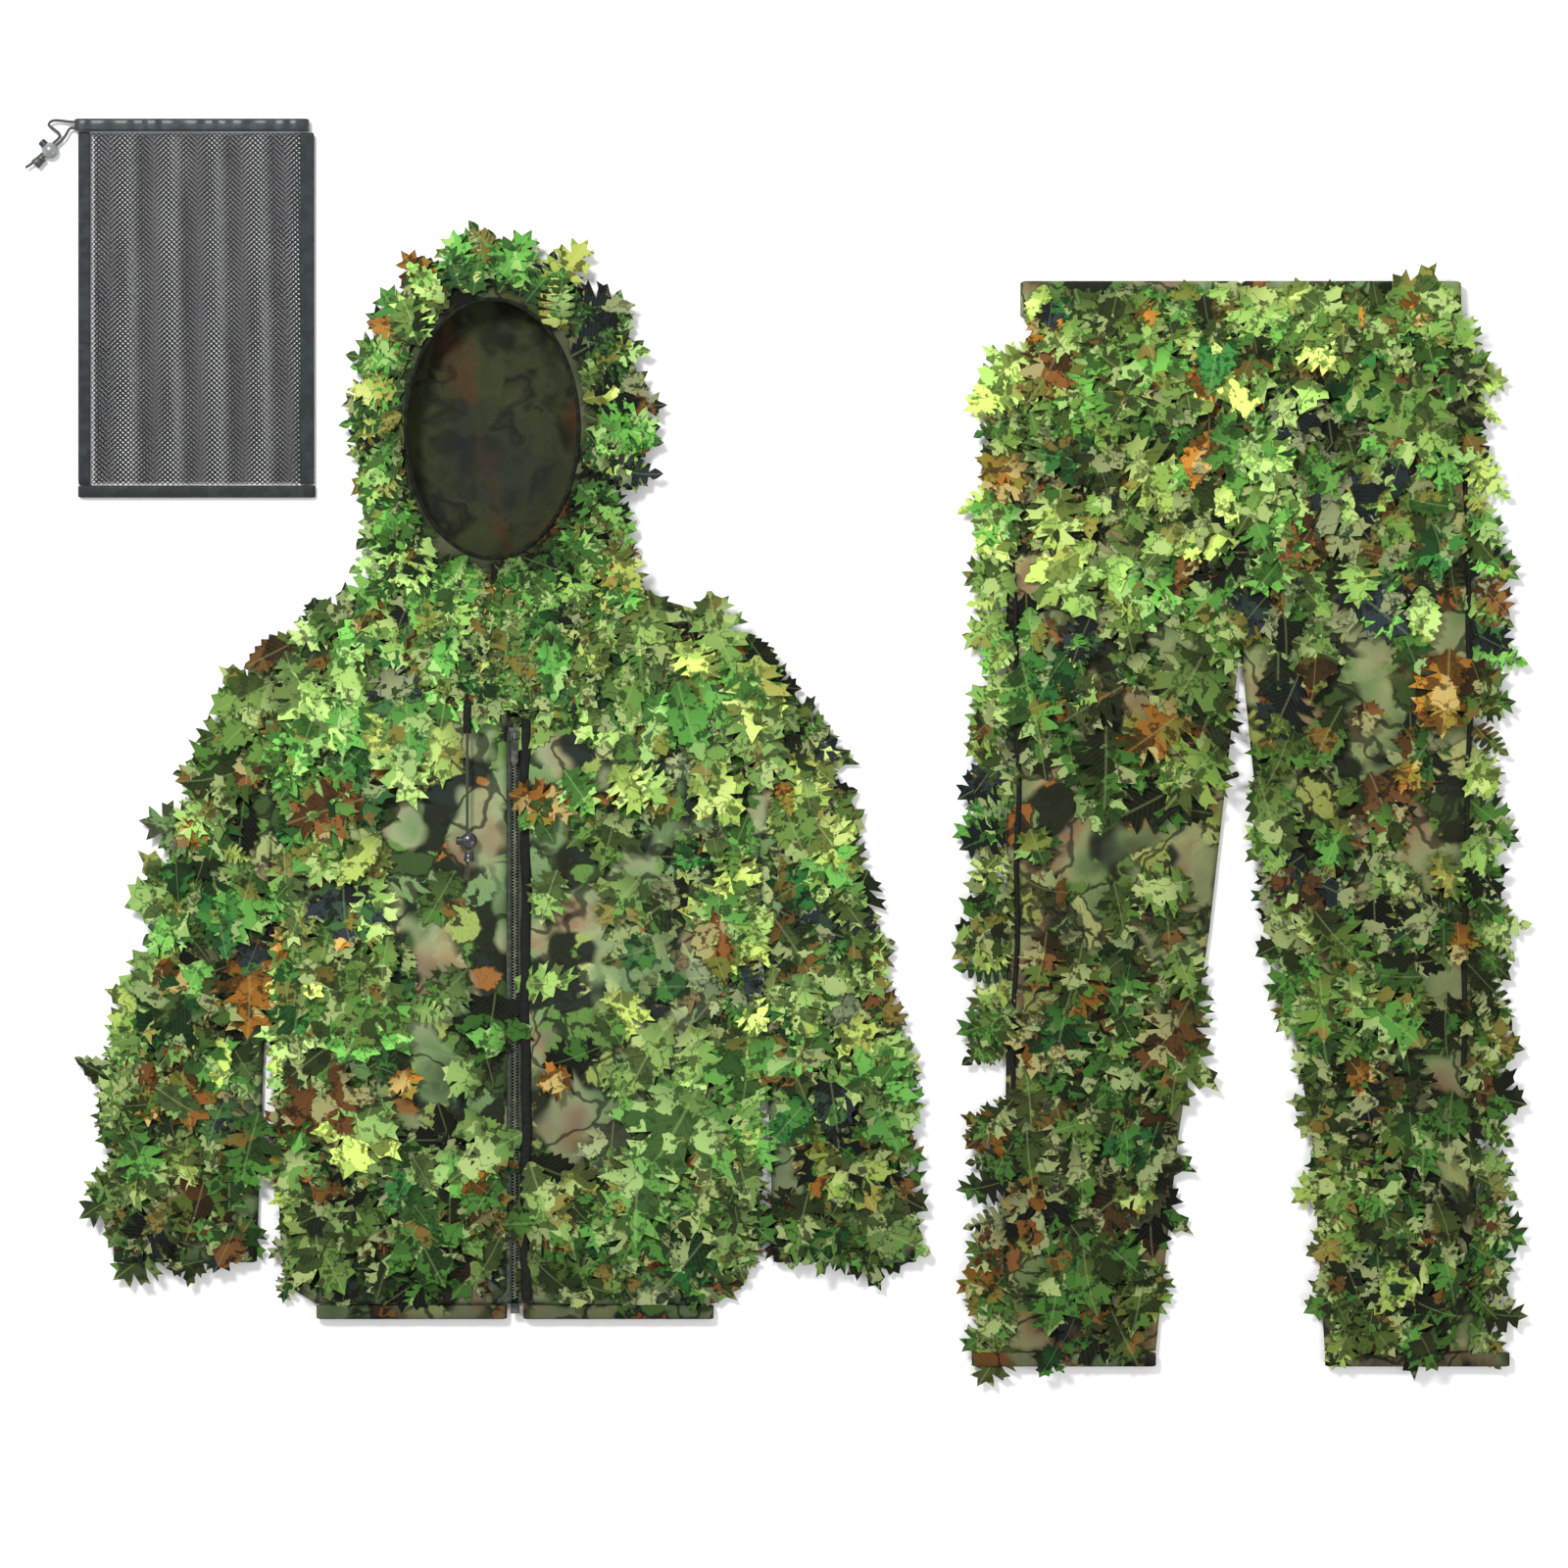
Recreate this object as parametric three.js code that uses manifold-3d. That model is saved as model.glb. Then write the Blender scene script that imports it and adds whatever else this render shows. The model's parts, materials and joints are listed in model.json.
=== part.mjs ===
// Leaf suit set laid flat on the ground, front up: hooded zip jacket, trousers and mesh storage bag.
// Millimetres, +Z up. +X is towards the wearer's left, +Y towards the head.
import * as THREE from 'three';
import Module from 'manifold-3d';
import { mergeVertices } from 'three/addons/utils/BufferGeometryUtils.js';

const wasm = await Module();
wasm.setup();

// ---------------------------------------------------------------- driving dimensions

// Cloth layers, counted up from the ground
const SEAT_GAP = 0.3; // between two pieces that touch
const FOLD_GAP = 0.2; // each side of a fold line
const BACK_THICK = 7.6;
const FRONT_THICK = 14;
const LEAF_THICK = 8.7;
const EDGE_CHAMFER = 3;

// Jacket: x = 0 at the zip, y = 0 at the hem
const JACKET_LENGTH = 700; // hem to neck line
const CHEST_HALF = 236; // zip to the sleeve's fold line
const WAIST_HALF = 227;
const HEM_HALF = 192;
const HEM_BAND = 14;
const HEM_CORNER = 30;
const SHOULDER_DROP = 58;
const NECK_HALF = 125;
const ARMHOLE_DEPTH = 180;
const SLEEVE_REACH_RIGHT = 410; // zip to the sleeve's widest point
const SLEEVE_REACH_LEFT = 398;
const CUFF_RISE = 55; // hem line to the cuff's end
const CUFF_WIDTH = 138;
const CUFF_BAND = 16;
const CUFF_SPREAD = 14; // fold line to the cuff's near side

// Hood and collar cape
const HOOD_HALF = 112;
const HOOD_OFFSET = -14;
const HOOD_LENGTH = 322;
const HOOD_LOFT = 36;
const HOOD_LEAF_THICK = 8;
const FACE_HALF_WIDTH = 83;
const FACE_HALF_HEIGHT = 124;
const FACE_OFFSET = -6; // from the hood's middle
const FACE_RISE = 159; // neck line to the middle of the face
const VEIL_THICK = 2.2;
const VEIL_LAP = 7;
const BINDING_WIDTH = 3.4;
const BINDING_DEPTH = 13;
const CAPE_HALF = 104;
const CAPE_DROP = 112;

// Zip
const ZIP_BOTTOM = 6;
const ZIP_TOP = 584;
const ZIP_OPENING = 8; // zip line to the edge of the front panel
const TAPE_WIDTH = 14;
const TAPE_THICK = 1;
const COIL_THICK = 3;
const COIL_INNER = 0.7;
const COIL_OUTER = 2.9;
const COIL_PITCH = 17;
const SLIDER_LENGTH = 13;
const SLIDER_PLATE = 1.3;
const SLIDER_Y = 566;
const PULL_LENGTH = 30;
const PULL_WIDTH = 7;
const PULL_THICK = 1.6;

// Cords and their fittings
const CORD_DIAMETER = 2.8;
const BORE_CLEARANCE = 0.3;
const LOCK_RADIUS = 8;
const LOCK_HEIGHT = 11;
const BUTTON_RADIUS = 3.2;
const BUTTON_CAP_RADIUS = 4;
const BUTTON_STAND_OUT = 4.6;
const BUTTON_TRAVEL = 2.5;
const BELL_LENGTH = 11;
const BELL_MOUTH_RADIUS = 5.5;
const BELL_NECK_RADIUS = 4.5;
const HOOD_CORD_X = -45;
const HOOD_TUNNEL_LENGTH = 30;
const HOOD_TUNNEL_WIDTH = 8;
const HOOD_LOCK_DROP = 237; // below the neck

// Trousers: x = 0 on the centre seam, y = 0 at the waist, the legs run towards -Y
const TROUSER_LENGTH = 1050;
const WAIST_BAND_HALF = 213;
const WAIST_BAND = 36;
const HIP_HALF = 256;
const RISE = 353; // waist to crotch
const ANKLE_BAND = 14;
const CASING_WALL = 2.4;

// Bag: x = 0, y = 0 in its middle
const BAG_WIDTH = 224;
const BAG_HEIGHT = 367;
const BAG_FLARE = 6;
const BAG_CASING = 12.5;
const BAG_CASING_WALL = 1.5;
const BAG_BINDING = 12;
const BAG_BINDING_THICK = 5.2;
const NET_THICK = 2.2;

// Where each piece of the set lies: the jacket's hem on the zip line, the waist's middle, and the bag's
// middle, which keeps clear of the jacket's shoulder
const JACKET_AT = [-293.5, -554.8];
const TROUSERS_AT = [408.5, 449.4];
const BAG_X = -605;
const BAG_ABOVE_NECK = 278.5;
const BAG_AT = [BAG_X, JACKET_AT[1] + JACKET_LENGTH + BAG_ABOVE_NECK];

// ---------------------------------------------------------------- derived levels

const FRONT_Z = BACK_THICK + SEAT_GAP;
const FRONT_TOP = FRONT_Z + FRONT_THICK;
const LEAF_Z = FRONT_TOP + SEAT_GAP;
const COIL_Z = FRONT_Z + 1.8;
const TAPE_Z = COIL_Z + (COIL_THICK - TAPE_THICK) / 2;
const SHOULDER_Y = JACKET_LENGTH - SHOULDER_DROP;
const ARMPIT_Y = SHOULDER_Y - ARMHOLE_DEPTH;
const CORD_SLOT = CORD_DIAMETER + 2 * BORE_CLEARANCE;
const STRAND_PITCH = CORD_DIAMETER + SEAT_GAP;
const LOCK_BORE_OFFSET = 1.4; // towards the button from the lock's middle
const LOCK_WALL = 1.5;
const SPRING_RADIUS = 2.2;
const SPRING_WIRE = 0.6;
const SPRING_TURNS = 3;

const INK = {
  cloth: 0x55683a,
  backCloth: 0x3c4a2a,
  leaf: 0x5f9a45,
  darkLeaf: 0x2f6b2d,
  veil: 0x2f3324,
  band: 0x1f2622,
  coil: 0x2c3a34,
  metal: 0x8d9190,
  plastic: 0x3a3e3d,
  cord: 0x151816,
  net: 0x4a5452,
};

const suit = new THREE.Group();
const cordPieces = [];

// ---------------------------------------------------------------- helpers

// One named mesh in a group
function add(group, name, geometry, color, roughness = 0.9, metalness = 0) {
  const material = new THREE.MeshStandardMaterial({ color, roughness, metalness });
  const mesh = new THREE.Mesh(geometry, material);
  mesh.name = name;
  group.add(mesh);
  return mesh;
}

// A closed outline raised from z to z + thick, with optional holes and chamfered edges
function slab(points, z, thick, { holes = [], chamfer = 0 } = {}) {
  const shape = new THREE.Shape(points.map(([x, y]) => new THREE.Vector2(x, y)));
  for (const hole of holes) {
    shape.holes.push(new THREE.Path(hole.map(([x, y]) => new THREE.Vector2(x, y))));
  }
  const geometry = new THREE.ExtrudeGeometry(shape, {
    depth: thick - 2 * chamfer,
    steps: 1,
    bevelEnabled: chamfer > 0,
    bevelSegments: 1,
    bevelThickness: chamfer,
    bevelSize: chamfer,
    bevelOffset: -chamfer,
  });
  return geometry.translate(0, 0, z + chamfer);
}

function box(x0, x1, y0, y1, z0, z1) {
  const geometry = new THREE.BoxGeometry(x1 - x0, y1 - y0, z1 - z0);
  return geometry.translate((x0 + x1) / 2, (y0 + y1) / 2, (z0 + z1) / 2);
}

// A cylinder or cone along X, from x0 (radius r0) to x1 (radius r1)
function rodX(x0, x1, r0, r1, sides = 16) {
  const geometry = new THREE.CylinderGeometry(r0, r1, x1 - x0, sides);
  return geometry.rotateZ(Math.PI / 2).translate((x0 + x1) / 2, 0, 0);
}

function solid(geometry) {
  const plain = geometry.clone();
  for (const name of Object.keys(plain.attributes)) {
    if (name !== 'position') plain.deleteAttribute(name);
  }
  const merged = mergeVertices(plain, 1e-4);
  const vertProperties = new Float32Array(merged.attributes.position.array);
  const triVerts = new Uint32Array(merged.index.array);
  return new wasm.Manifold(new wasm.Mesh({ numProp: 3, vertProperties, triVerts }));
}

function geometryOf(body) {
  const mesh = body.getMesh();
  const geometry = new THREE.BufferGeometry();
  geometry.setAttribute('position', new THREE.Float32BufferAttribute(mesh.vertProperties, 3));
  geometry.setIndex(Array.from(mesh.triVerts));
  return geometry;
}

function cut(geometry, ...tools) {
  return geometryOf(tools.reduce((body, tool) => body.subtract(solid(tool)), solid(geometry)));
}

function join(first, ...rest) {
  return geometryOf(rest.reduce((body, piece) => body.add(solid(piece)), solid(first)));
}

function ellipse(cx, cy, a, b, count = 44) {
  const points = [];
  for (let i = 0; i < count; i++) {
    const t = (2 * Math.PI * i) / count;
    points.push([cx + a * Math.cos(t), cy + b * Math.sin(t)]);
  }
  return points;
}

// Turns the free edges of an outline into a row of leaf tips. free(x, y) says where tips may stand.
function leafy(points, free, { pitch = 42, reach = 18 } = {}) {
  const area = points.reduce((sum, [x, y], i) => {
    const [u, v] = points[(i + 1) % points.length];
    return sum + x * v - u * y;
  }, 0);
  const turn = Math.sign(area);
  const outline = [];
  points.forEach(([x0, y0], i) => {
    const [x1, y1] = points[(i + 1) % points.length];
    const length = Math.hypot(x1 - x0, y1 - y0);
    const count = free((x0 + x1) / 2, (y0 + y1) / 2) ? Math.max(1, Math.round(length / pitch)) : 0;
    const out = [(turn * (y1 - y0)) / length, (-turn * (x1 - x0)) / length];
    outline.push([x0, y0]);
    for (let k = 0; k < count; k++) {
      const far = reach * (0.7 + 0.15 * (k % 3));
      const share = (k + 0.55) / count;
      outline.push([x0 + (x1 - x0) * share + out[0] * far, y0 + (y1 - y0) * share + out[1] * far]);
      if (k < count - 1) {
        const root = (k + 1) / count;
        outline.push([x0 + (x1 - x0) * root, y0 + (y1 - y0) * root]);
      }
    }
  });
  return outline;
}

const mirrored = (points, side) => points.map(([x, y]) => [side * x, y]);

// A flat hollow casing along X, open at both ends
function casing(x0, x1, y0, y1, z0, z1, wall) {
  const outer = box(x0, x1, y0, y1, z0, z1);
  return cut(outer, box(x0 - 1, x1 + 1, y0 + wall, y1 - wall, z0 + wall, z1 - wall));
}

// A round cord through a list of points
function cordTube(points, steps, diameter = CORD_DIAMETER, sides = 8) {
  const curve = new THREE.CatmullRomCurve3(points.map((p) => new THREE.Vector3(...p)), false, 'centripetal');
  const section = new THREE.Shape(
    ellipse(0, 0, diameter / 2, diameter / 2, sides).map(([x, y]) => new THREE.Vector2(x, y)),
  );
  return new THREE.ExtrudeGeometry(section, { steps, extrudePath: curve, bevelEnabled: false });
}

// ---------------------------------------------------------------- jacket

const jacket = new THREE.Group();
jacket.position.set(...JACKET_AT, 0);
suit.add(jacket);

const sideX = CHEST_HALF - FOLD_GAP;
const bodyBottom = HEM_BAND + SEAT_GAP;

// Side of the body from the hem's end up to the neck, on the +X side
function bodySide() {
  return [
    [HEM_HALF, bodyBottom],
    [WAIST_HALF - 5, bodyBottom + HEM_CORNER * 0.6],
    [WAIST_HALF, bodyBottom + HEM_CORNER * 2],
    [sideX, bodyBottom + HEM_CORNER * 9],
    [sideX, SHOULDER_Y],
    [(CHEST_HALF + NECK_HALF) / 2 - 8, JACKET_LENGTH - 12],
    [NECK_HALF, JACKET_LENGTH - SEAT_GAP],
  ];
}

function jacketBack() {
  const right = bodySide();
  const left = mirrored(right, -1).reverse();
  return slab([...right, ...left], 0, BACK_THICK);
}

// The zip runs in a channel under the front edges
function jacketFront(side) {
  const outline = [[ZIP_OPENING, bodyBottom], ...bodySide(), [ZIP_OPENING, JACKET_LENGTH - SEAT_GAP]];
  const panel = slab(mirrored(outline, side), FRONT_Z, FRONT_THICK);
  const reach = side * (COIL_OUTER + SEAT_GAP + TAPE_WIDTH + SEAT_GAP);
  const x0 = Math.min(0, reach);
  const x1 = Math.max(0, reach);
  return cut(panel, box(x0, x1, -1, JACKET_LENGTH + 1, FRONT_Z - 1, TAPE_Z + TAPE_THICK + SEAT_GAP));
}

function capeEdge(t, grow) {
  const top = JACKET_LENGTH - SEAT_GAP;
  return [(CAPE_HALF + grow) * Math.cos(t), top - (CAPE_DROP + grow) * Math.sin(t)];
}

// Leaves cover each front but for the collar cape and the sheer strip beside the zip
function jacketLeaves(side) {
  const inset = 5;
  const sheer = 66;
  const outline = [
    [ZIP_OPENING + 4, bodyBottom + 14],
    [HEM_HALF, bodyBottom + 14],
    [WAIST_HALF - 9, bodyBottom + HEM_CORNER],
    [WAIST_HALF - inset, bodyBottom + HEM_CORNER * 2],
    [sideX - inset, bodyBottom + HEM_CORNER * 9],
    [sideX - inset, SHOULDER_Y - inset],
    [(CHEST_HALF + NECK_HALF) / 2 - 8, JACKET_LENGTH - 12 - inset],
  ];
  const steps = 5;
  const last = Math.acos(sheer / (CAPE_HALF + inset));
  for (let i = 0; i <= steps; i++) outline.push(capeEdge(0.08 + ((last - 0.08) * i) / steps, inset));
  outline.push([sheer, ARMPIT_Y - 70]);
  outline.push([ZIP_OPENING + 4, ARMPIT_Y - 90]);
  const free = (x, y) => y < bodyBottom + 15 || (x < sheer + 1 && y < ARMPIT_Y - 60);
  return slab(mirrored(leafy(outline, free, { reach: -9 }), side), LEAF_Z, LEAF_THICK);
}

// Sleeve outline on the +X side, fold line first; low is where the cloth stops above the cuff
function sleeveOutline(reach, low) {
  const fold = CHEST_HALF + FOLD_GAP;
  const cuffNear = CHEST_HALF + CUFF_SPREAD;
  return [
    [cuffNear, low],
    [cuffNear + CUFF_WIDTH, low],
    [reach - 5, low + 40],
    [reach, low + 165],
    [reach - 16, low + 232],
    [CHEST_HALF + 126, low + 325],
    [CHEST_HALF + 90, SHOULDER_Y - 96],
    [CHEST_HALF + 58, SHOULDER_Y - 38],
    [fold, SHOULDER_Y],
    [fold, ARMPIT_Y],
    [CHEST_HALF + 6, ARMPIT_Y - 160],
  ];
}

function sleeve(side, name, reach) {
  const low = CUFF_RISE + CUFF_BAND + SEAT_GAP;
  const outline = mirrored(sleeveOutline(reach, low), side);
  add(jacket, `sleeve_${name}_back`, slab(outline, 0, BACK_THICK), INK.backCloth);
  add(jacket, `sleeve_${name}_front`, slab(outline, FRONT_Z, FRONT_THICK), INK.cloth);

  const near = side * (CHEST_HALF + CUFF_SPREAD);
  const far = side * (CHEST_HALF + CUFF_SPREAD + CUFF_WIDTH);
  const x0 = Math.min(near, far);
  const x1 = Math.max(near, far);
  const y1 = CUFF_RISE + CUFF_BAND;
  add(jacket, `sleeve_${name}_cuff`, casing(x0, x1, CUFF_RISE, y1, 0, FRONT_TOP, CASING_WALL), INK.cloth);
  const play = CASING_WALL + SEAT_GAP;
  const elastic = box(x0 + 2, x1 - 2, CUFF_RISE + play, y1 - play, play, FRONT_TOP - play);
  add(jacket, `sleeve_${name}_cuff_elastic`, elastic, INK.band);

  const inner = CHEST_HALF + 5;
  const leafLine = sleeveOutline(reach - 2, CUFF_RISE + 22).map(([x, y]) => [Math.max(x, inner), y]);
  const free = (x) => x > inner + 20;
  const leaves = leafy(leafLine, free, { pitch: 40, reach: 16 });
  add(jacket, `sleeve_${name}_leaves`, slab(mirrored(leaves, side), LEAF_Z, LEAF_THICK), INK.leaf);
}

add(jacket, 'jacket_back_panel', jacketBack(), INK.backCloth);
add(jacket, 'jacket_front_right', jacketFront(-1), INK.cloth);
add(jacket, 'jacket_front_left', jacketFront(1), INK.cloth);
add(jacket, 'jacket_hem_right', box(-HEM_HALF, -ZIP_OPENING, 0, HEM_BAND, 0, FRONT_TOP - 4), INK.band);
add(jacket, 'jacket_hem_left', box(ZIP_OPENING, HEM_HALF, 0, HEM_BAND, 0, FRONT_TOP - 4), INK.band);
add(jacket, 'jacket_leaves_right', jacketLeaves(-1), INK.leaf);
add(jacket, 'jacket_leaves_left', jacketLeaves(1), INK.leaf);
sleeve(-1, 'right', SLEEVE_REACH_RIGHT);
sleeve(1, 'left', SLEEVE_REACH_LEFT);

// ---------------------------------------------------------------- zip

function zipTape(side) {
  const x0 = COIL_OUTER + SEAT_GAP;
  const x1 = x0 + TAPE_WIDTH;
  const outline = [[x0, ZIP_BOTTOM + 10], [x1, bodyBottom + 2], [x1, ZIP_TOP], [x0, ZIP_TOP]];
  return slab(mirrored(outline, side), TAPE_Z, TAPE_THICK);
}

// A comb of teeth that stops short of the zip line, so that the slider's web runs between the two combs
function zipCoil(side) {
  const start = ZIP_BOTTOM + 13;
  const count = Math.floor((ZIP_TOP - start) / COIL_PITCH);
  const spine = COIL_INNER + 0.8;
  const outline = [[COIL_OUTER, start], [COIL_OUTER, start + count * COIL_PITCH]];
  for (let i = count; i > 0; i--) {
    const top = start + i * COIL_PITCH;
    const shift = side > 0 ? 0 : COIL_PITCH / 2;
    outline.push([i === count ? COIL_INNER : spine, top]);
    outline.push([COIL_INNER, top - 0.01 - shift / 4]);
    outline.push([COIL_INNER, top - COIL_PITCH / 2]);
    outline.push([spine, top - COIL_PITCH / 2 - 0.5]);
  }
  outline.push([spine, start]);
  return slab(mirrored(outline, side), COIL_Z, COIL_THICK);
}

function zipBottomBox() {
  const half = COIL_OUTER + 1.4;
  return box(-half, half, ZIP_BOTTOM, ZIP_BOTTOM + 9.7, FRONT_Z + 0.2, COIL_Z + COIL_THICK + 1.2);
}

const sliderHalf = COIL_OUTER + 3.3;
const sliderTopZ = COIL_Z + COIL_THICK + SEAT_GAP;
const sliderLowZ = COIL_Z - SEAT_GAP - SLIDER_PLATE;
const pullAxisZ = sliderTopZ + SLIDER_PLATE + 0.5 + PULL_THICK / 2 + 0.2;

// Two plates held apart by a web between the coils, and a bridge that holds the pull
function zipSlider() {
  const y0 = SLIDER_Y - SLIDER_LENGTH / 2;
  const y1 = SLIDER_Y + SLIDER_LENGTH / 2;
  const web = COIL_INNER - SEAT_GAP;
  const bridgeHalf = 1.2;
  const bridgeReach = 4.4;
  const bridgeLow = pullAxisZ + PULL_THICK / 2 + 0.35;
  const post = 1.3;
  const upper = box(-sliderHalf, sliderHalf, y0, y1, sliderTopZ, sliderTopZ + SLIDER_PLATE);
  const lower = box(-sliderHalf, sliderHalf, y0, y1, sliderLowZ, sliderLowZ + SLIDER_PLATE);
  const middle = box(-web, web, SLIDER_Y, SLIDER_Y + 4, sliderLowZ + 0.2, sliderTopZ + 0.2);
  const foot = sliderTopZ + 0.5;
  const posts = [-1, 1].map((s) => {
    const y = SLIDER_Y + s * (bridgeReach - post / 2);
    return box(-bridgeHalf, bridgeHalf, y - post / 2, y + post / 2, foot, bridgeLow + 0.3);
  });
  const bridge = box(
    -bridgeHalf, bridgeHalf, SLIDER_Y - bridgeReach, SLIDER_Y + bridgeReach, bridgeLow, bridgeLow + 1.2,
  );
  return join(upper, lower, middle, ...posts, bridge);
}

// A tab with a loop whose bar passes under the slider's bridge
function zipPull() {
  const half = PULL_WIDTH / 2;
  const eyeHalf = half - 1.1;
  const bar = PULL_THICK / 2;
  const outline = [
    [-half, SLIDER_Y + bar], [-half, SLIDER_Y - PULL_LENGTH + 4], [-half + 2, SLIDER_Y - PULL_LENGTH],
    [half - 2, SLIDER_Y - PULL_LENGTH], [half, SLIDER_Y - PULL_LENGTH + 4], [half, SLIDER_Y + bar],
  ];
  const eye = [
    [-eyeHalf, SLIDER_Y - bar], [-eyeHalf, SLIDER_Y - 7], [eyeHalf, SLIDER_Y - 7], [eyeHalf, SLIDER_Y - bar],
  ];
  return slab(outline, pullAxisZ - PULL_THICK / 2, PULL_THICK, { holes: [eye] });
}

add(jacket, 'zip_tape_right', zipTape(-1), INK.band);
add(jacket, 'zip_tape_left', zipTape(1), INK.band);
add(jacket, 'zip_coil_right', zipCoil(-1), INK.coil, 0.5);
add(jacket, 'zip_coil_left', zipCoil(1), INK.coil, 0.5);
add(jacket, 'zip_bottom_box', zipBottomBox(), INK.metal, 0.35, 0.9);
add(jacket, 'zip_slider', zipSlider(), INK.metal, 0.35, 0.9);
add(jacket, 'zip_pull', zipPull(), INK.metal, 0.35, 0.9);

// ---------------------------------------------------------------- hood

const hoodMid = HOOD_HALF + 50; // neck line to where the crown starts to round
const hoodLow = JACKET_LENGTH + SEAT_GAP + FOLD_GAP;

// Neck and sides straight, crown half an ellipse; inset shrinks it all round
function hoodOutline(inset, count = 22) {
  const half = HOOD_HALF - inset;
  const crown = HOOD_LENGTH - hoodMid - inset;
  const points = [[HOOD_OFFSET - half + 4, hoodLow + inset], [HOOD_OFFSET + half - 4, hoodLow + inset]];
  for (let i = 0; i <= count; i++) {
    const t = (Math.PI * i) / count;
    points.push([HOOD_OFFSET + half * Math.cos(t), JACKET_LENGTH + hoodMid + crown * Math.sin(t)]);
  }
  return points;
}

const faceX = HOOD_OFFSET + FACE_OFFSET;
const faceY = JACKET_LENGTH + FACE_RISE;
const ringZ = FRONT_Z + VEIL_THICK + SEAT_GAP;
const ringTop = ringZ + HOOD_LOFT;

function faceOval(grow, count) {
  return ellipse(faceX, faceY, FACE_HALF_WIDTH + grow, FACE_HALF_HEIGHT + grow, count);
}

function hoodBack() {
  const free = (x, y) => y > hoodLow + 30;
  return slab(leafy(hoodOutline(2), free, { pitch: 34, reach: 17 }), 0, BACK_THICK);
}

function hoodFront() {
  return slab(hoodOutline(0), ringZ, HOOD_LOFT, { holes: [faceOval(0, 32)], chamfer: EDGE_CHAMFER });
}

function hoodLeaves() {
  const inset = EDGE_CHAMFER + 2;
  const outer = leafy(hoodOutline(inset + 5), () => true, { pitch: 30, reach: 5 });
  return slab(outer, ringTop + SEAT_GAP, HOOD_LEAF_THICK, { holes: [faceOval(inset, 32)] });
}

function faceBinding() {
  const outer = faceOval(-SEAT_GAP, 32);
  const inner = faceOval(-SEAT_GAP - BINDING_WIDTH, 32);
  return slab(outer, ringTop - BINDING_DEPTH, BINDING_DEPTH, { holes: [inner] });
}

// The collar's cape lies on the chest under the chin
function collarCape() {
  const steps = 16;
  const outline = [];
  for (let i = 0; i <= steps; i++) outline.push(capeEdge((Math.PI * i) / steps, 0));
  return slab(outline, LEAF_Z, LEAF_THICK, { chamfer: EDGE_CHAMFER });
}

add(jacket, 'hood_back', hoodBack(), INK.darkLeaf);
add(jacket, 'hood_front', hoodFront(), INK.cloth);
add(jacket, 'hood_leaves', hoodLeaves(), INK.leaf);
add(jacket, 'face_veil', slab(faceOval(VEIL_LAP, 32), FRONT_Z, VEIL_THICK), INK.veil);
add(jacket, 'face_binding', faceBinding(), INK.band);
add(jacket, 'collar_cape', collarCape(), INK.darkLeaf);

// ---------------------------------------------------------------- cord locks and cord ends

// Each fitting is made at the origin with the cord along +X, towards its free end, and the button along +Y,
// and is turned over as it is placed, so that the button ends up on the cord's right.
const springSeat = LOCK_WALL - LOCK_RADIUS;

function slotSize(strands) {
  return CORD_SLOT + (strands - 1) * STRAND_PITCH;
}

function lockBody(strands) {
  const ball = new THREE.SphereGeometry(LOCK_RADIUS, 16, 10).rotateX(Math.PI / 2);
  ball.scale(1, 1, LOCK_HEIGHT / (2 * LOCK_RADIUS));
  const half = slotSize(strands) / 2;
  const bore = box(
    -LOCK_RADIUS - 1, LOCK_RADIUS + 1, LOCK_BORE_OFFSET - half, LOCK_BORE_OFFSET + half,
    -CORD_SLOT / 2, CORD_SLOT / 2,
  );
  const wide = BUTTON_RADIUS + BORE_CLEARANCE;
  const narrow = SPRING_RADIUS + BORE_CLEARANCE;
  const stemHole = rodX(buttonInner() - BUTTON_TRAVEL, LOCK_RADIUS + 1, wide, wide).rotateZ(Math.PI / 2);
  const springHole = rodX(springSeat, 0, narrow, narrow).rotateZ(Math.PI / 2);
  return cut(ball, bore, stemHole, springHole);
}

function buttonInner() {
  return LOCK_BORE_OFFSET - slotSize(2) / 2 - 1;
}

// The cord passes through a slot long enough for the button's travel
function lockButton(strands) {
  const stem = rodX(buttonInner(), LOCK_RADIUS + BUTTON_TRAVEL, BUTTON_RADIUS, BUTTON_RADIUS);
  const touch = Math.sqrt(LOCK_RADIUS ** 2 - BUTTON_CAP_RADIUS ** 2);
  const capStart = touch + BUTTON_TRAVEL + SEAT_GAP;
  const cap = rodX(capStart, LOCK_RADIUS + BUTTON_STAND_OUT, BUTTON_CAP_RADIUS, BUTTON_CAP_RADIUS);
  const half = slotSize(strands) / 2;
  const x0 = LOCK_BORE_OFFSET - half;
  const x1 = LOCK_BORE_OFFSET + half + BUTTON_TRAVEL;
  const slot = box(x0, x1, -LOCK_RADIUS, LOCK_RADIUS, -CORD_SLOT / 2, CORD_SLOT / 2);
  return cut(join(stem, cap), slot).rotateZ(Math.PI / 2);
}

function lockSpring() {
  const radius = SPRING_RADIUS - SPRING_WIRE / 2;
  const low = springSeat + SEAT_GAP + SPRING_WIRE / 2;
  const high = buttonInner() - SEAT_GAP - SPRING_WIRE / 2;
  const steps = SPRING_TURNS * 8;
  const points = [];
  for (let i = 0; i <= steps; i++) {
    const t = (2 * Math.PI * SPRING_TURNS * i) / steps;
    points.push([radius * Math.cos(t), low + ((high - low) * i) / steps, radius * Math.sin(t)]);
  }
  return cordTube(points, steps, SPRING_WIRE, 5);
}

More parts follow.
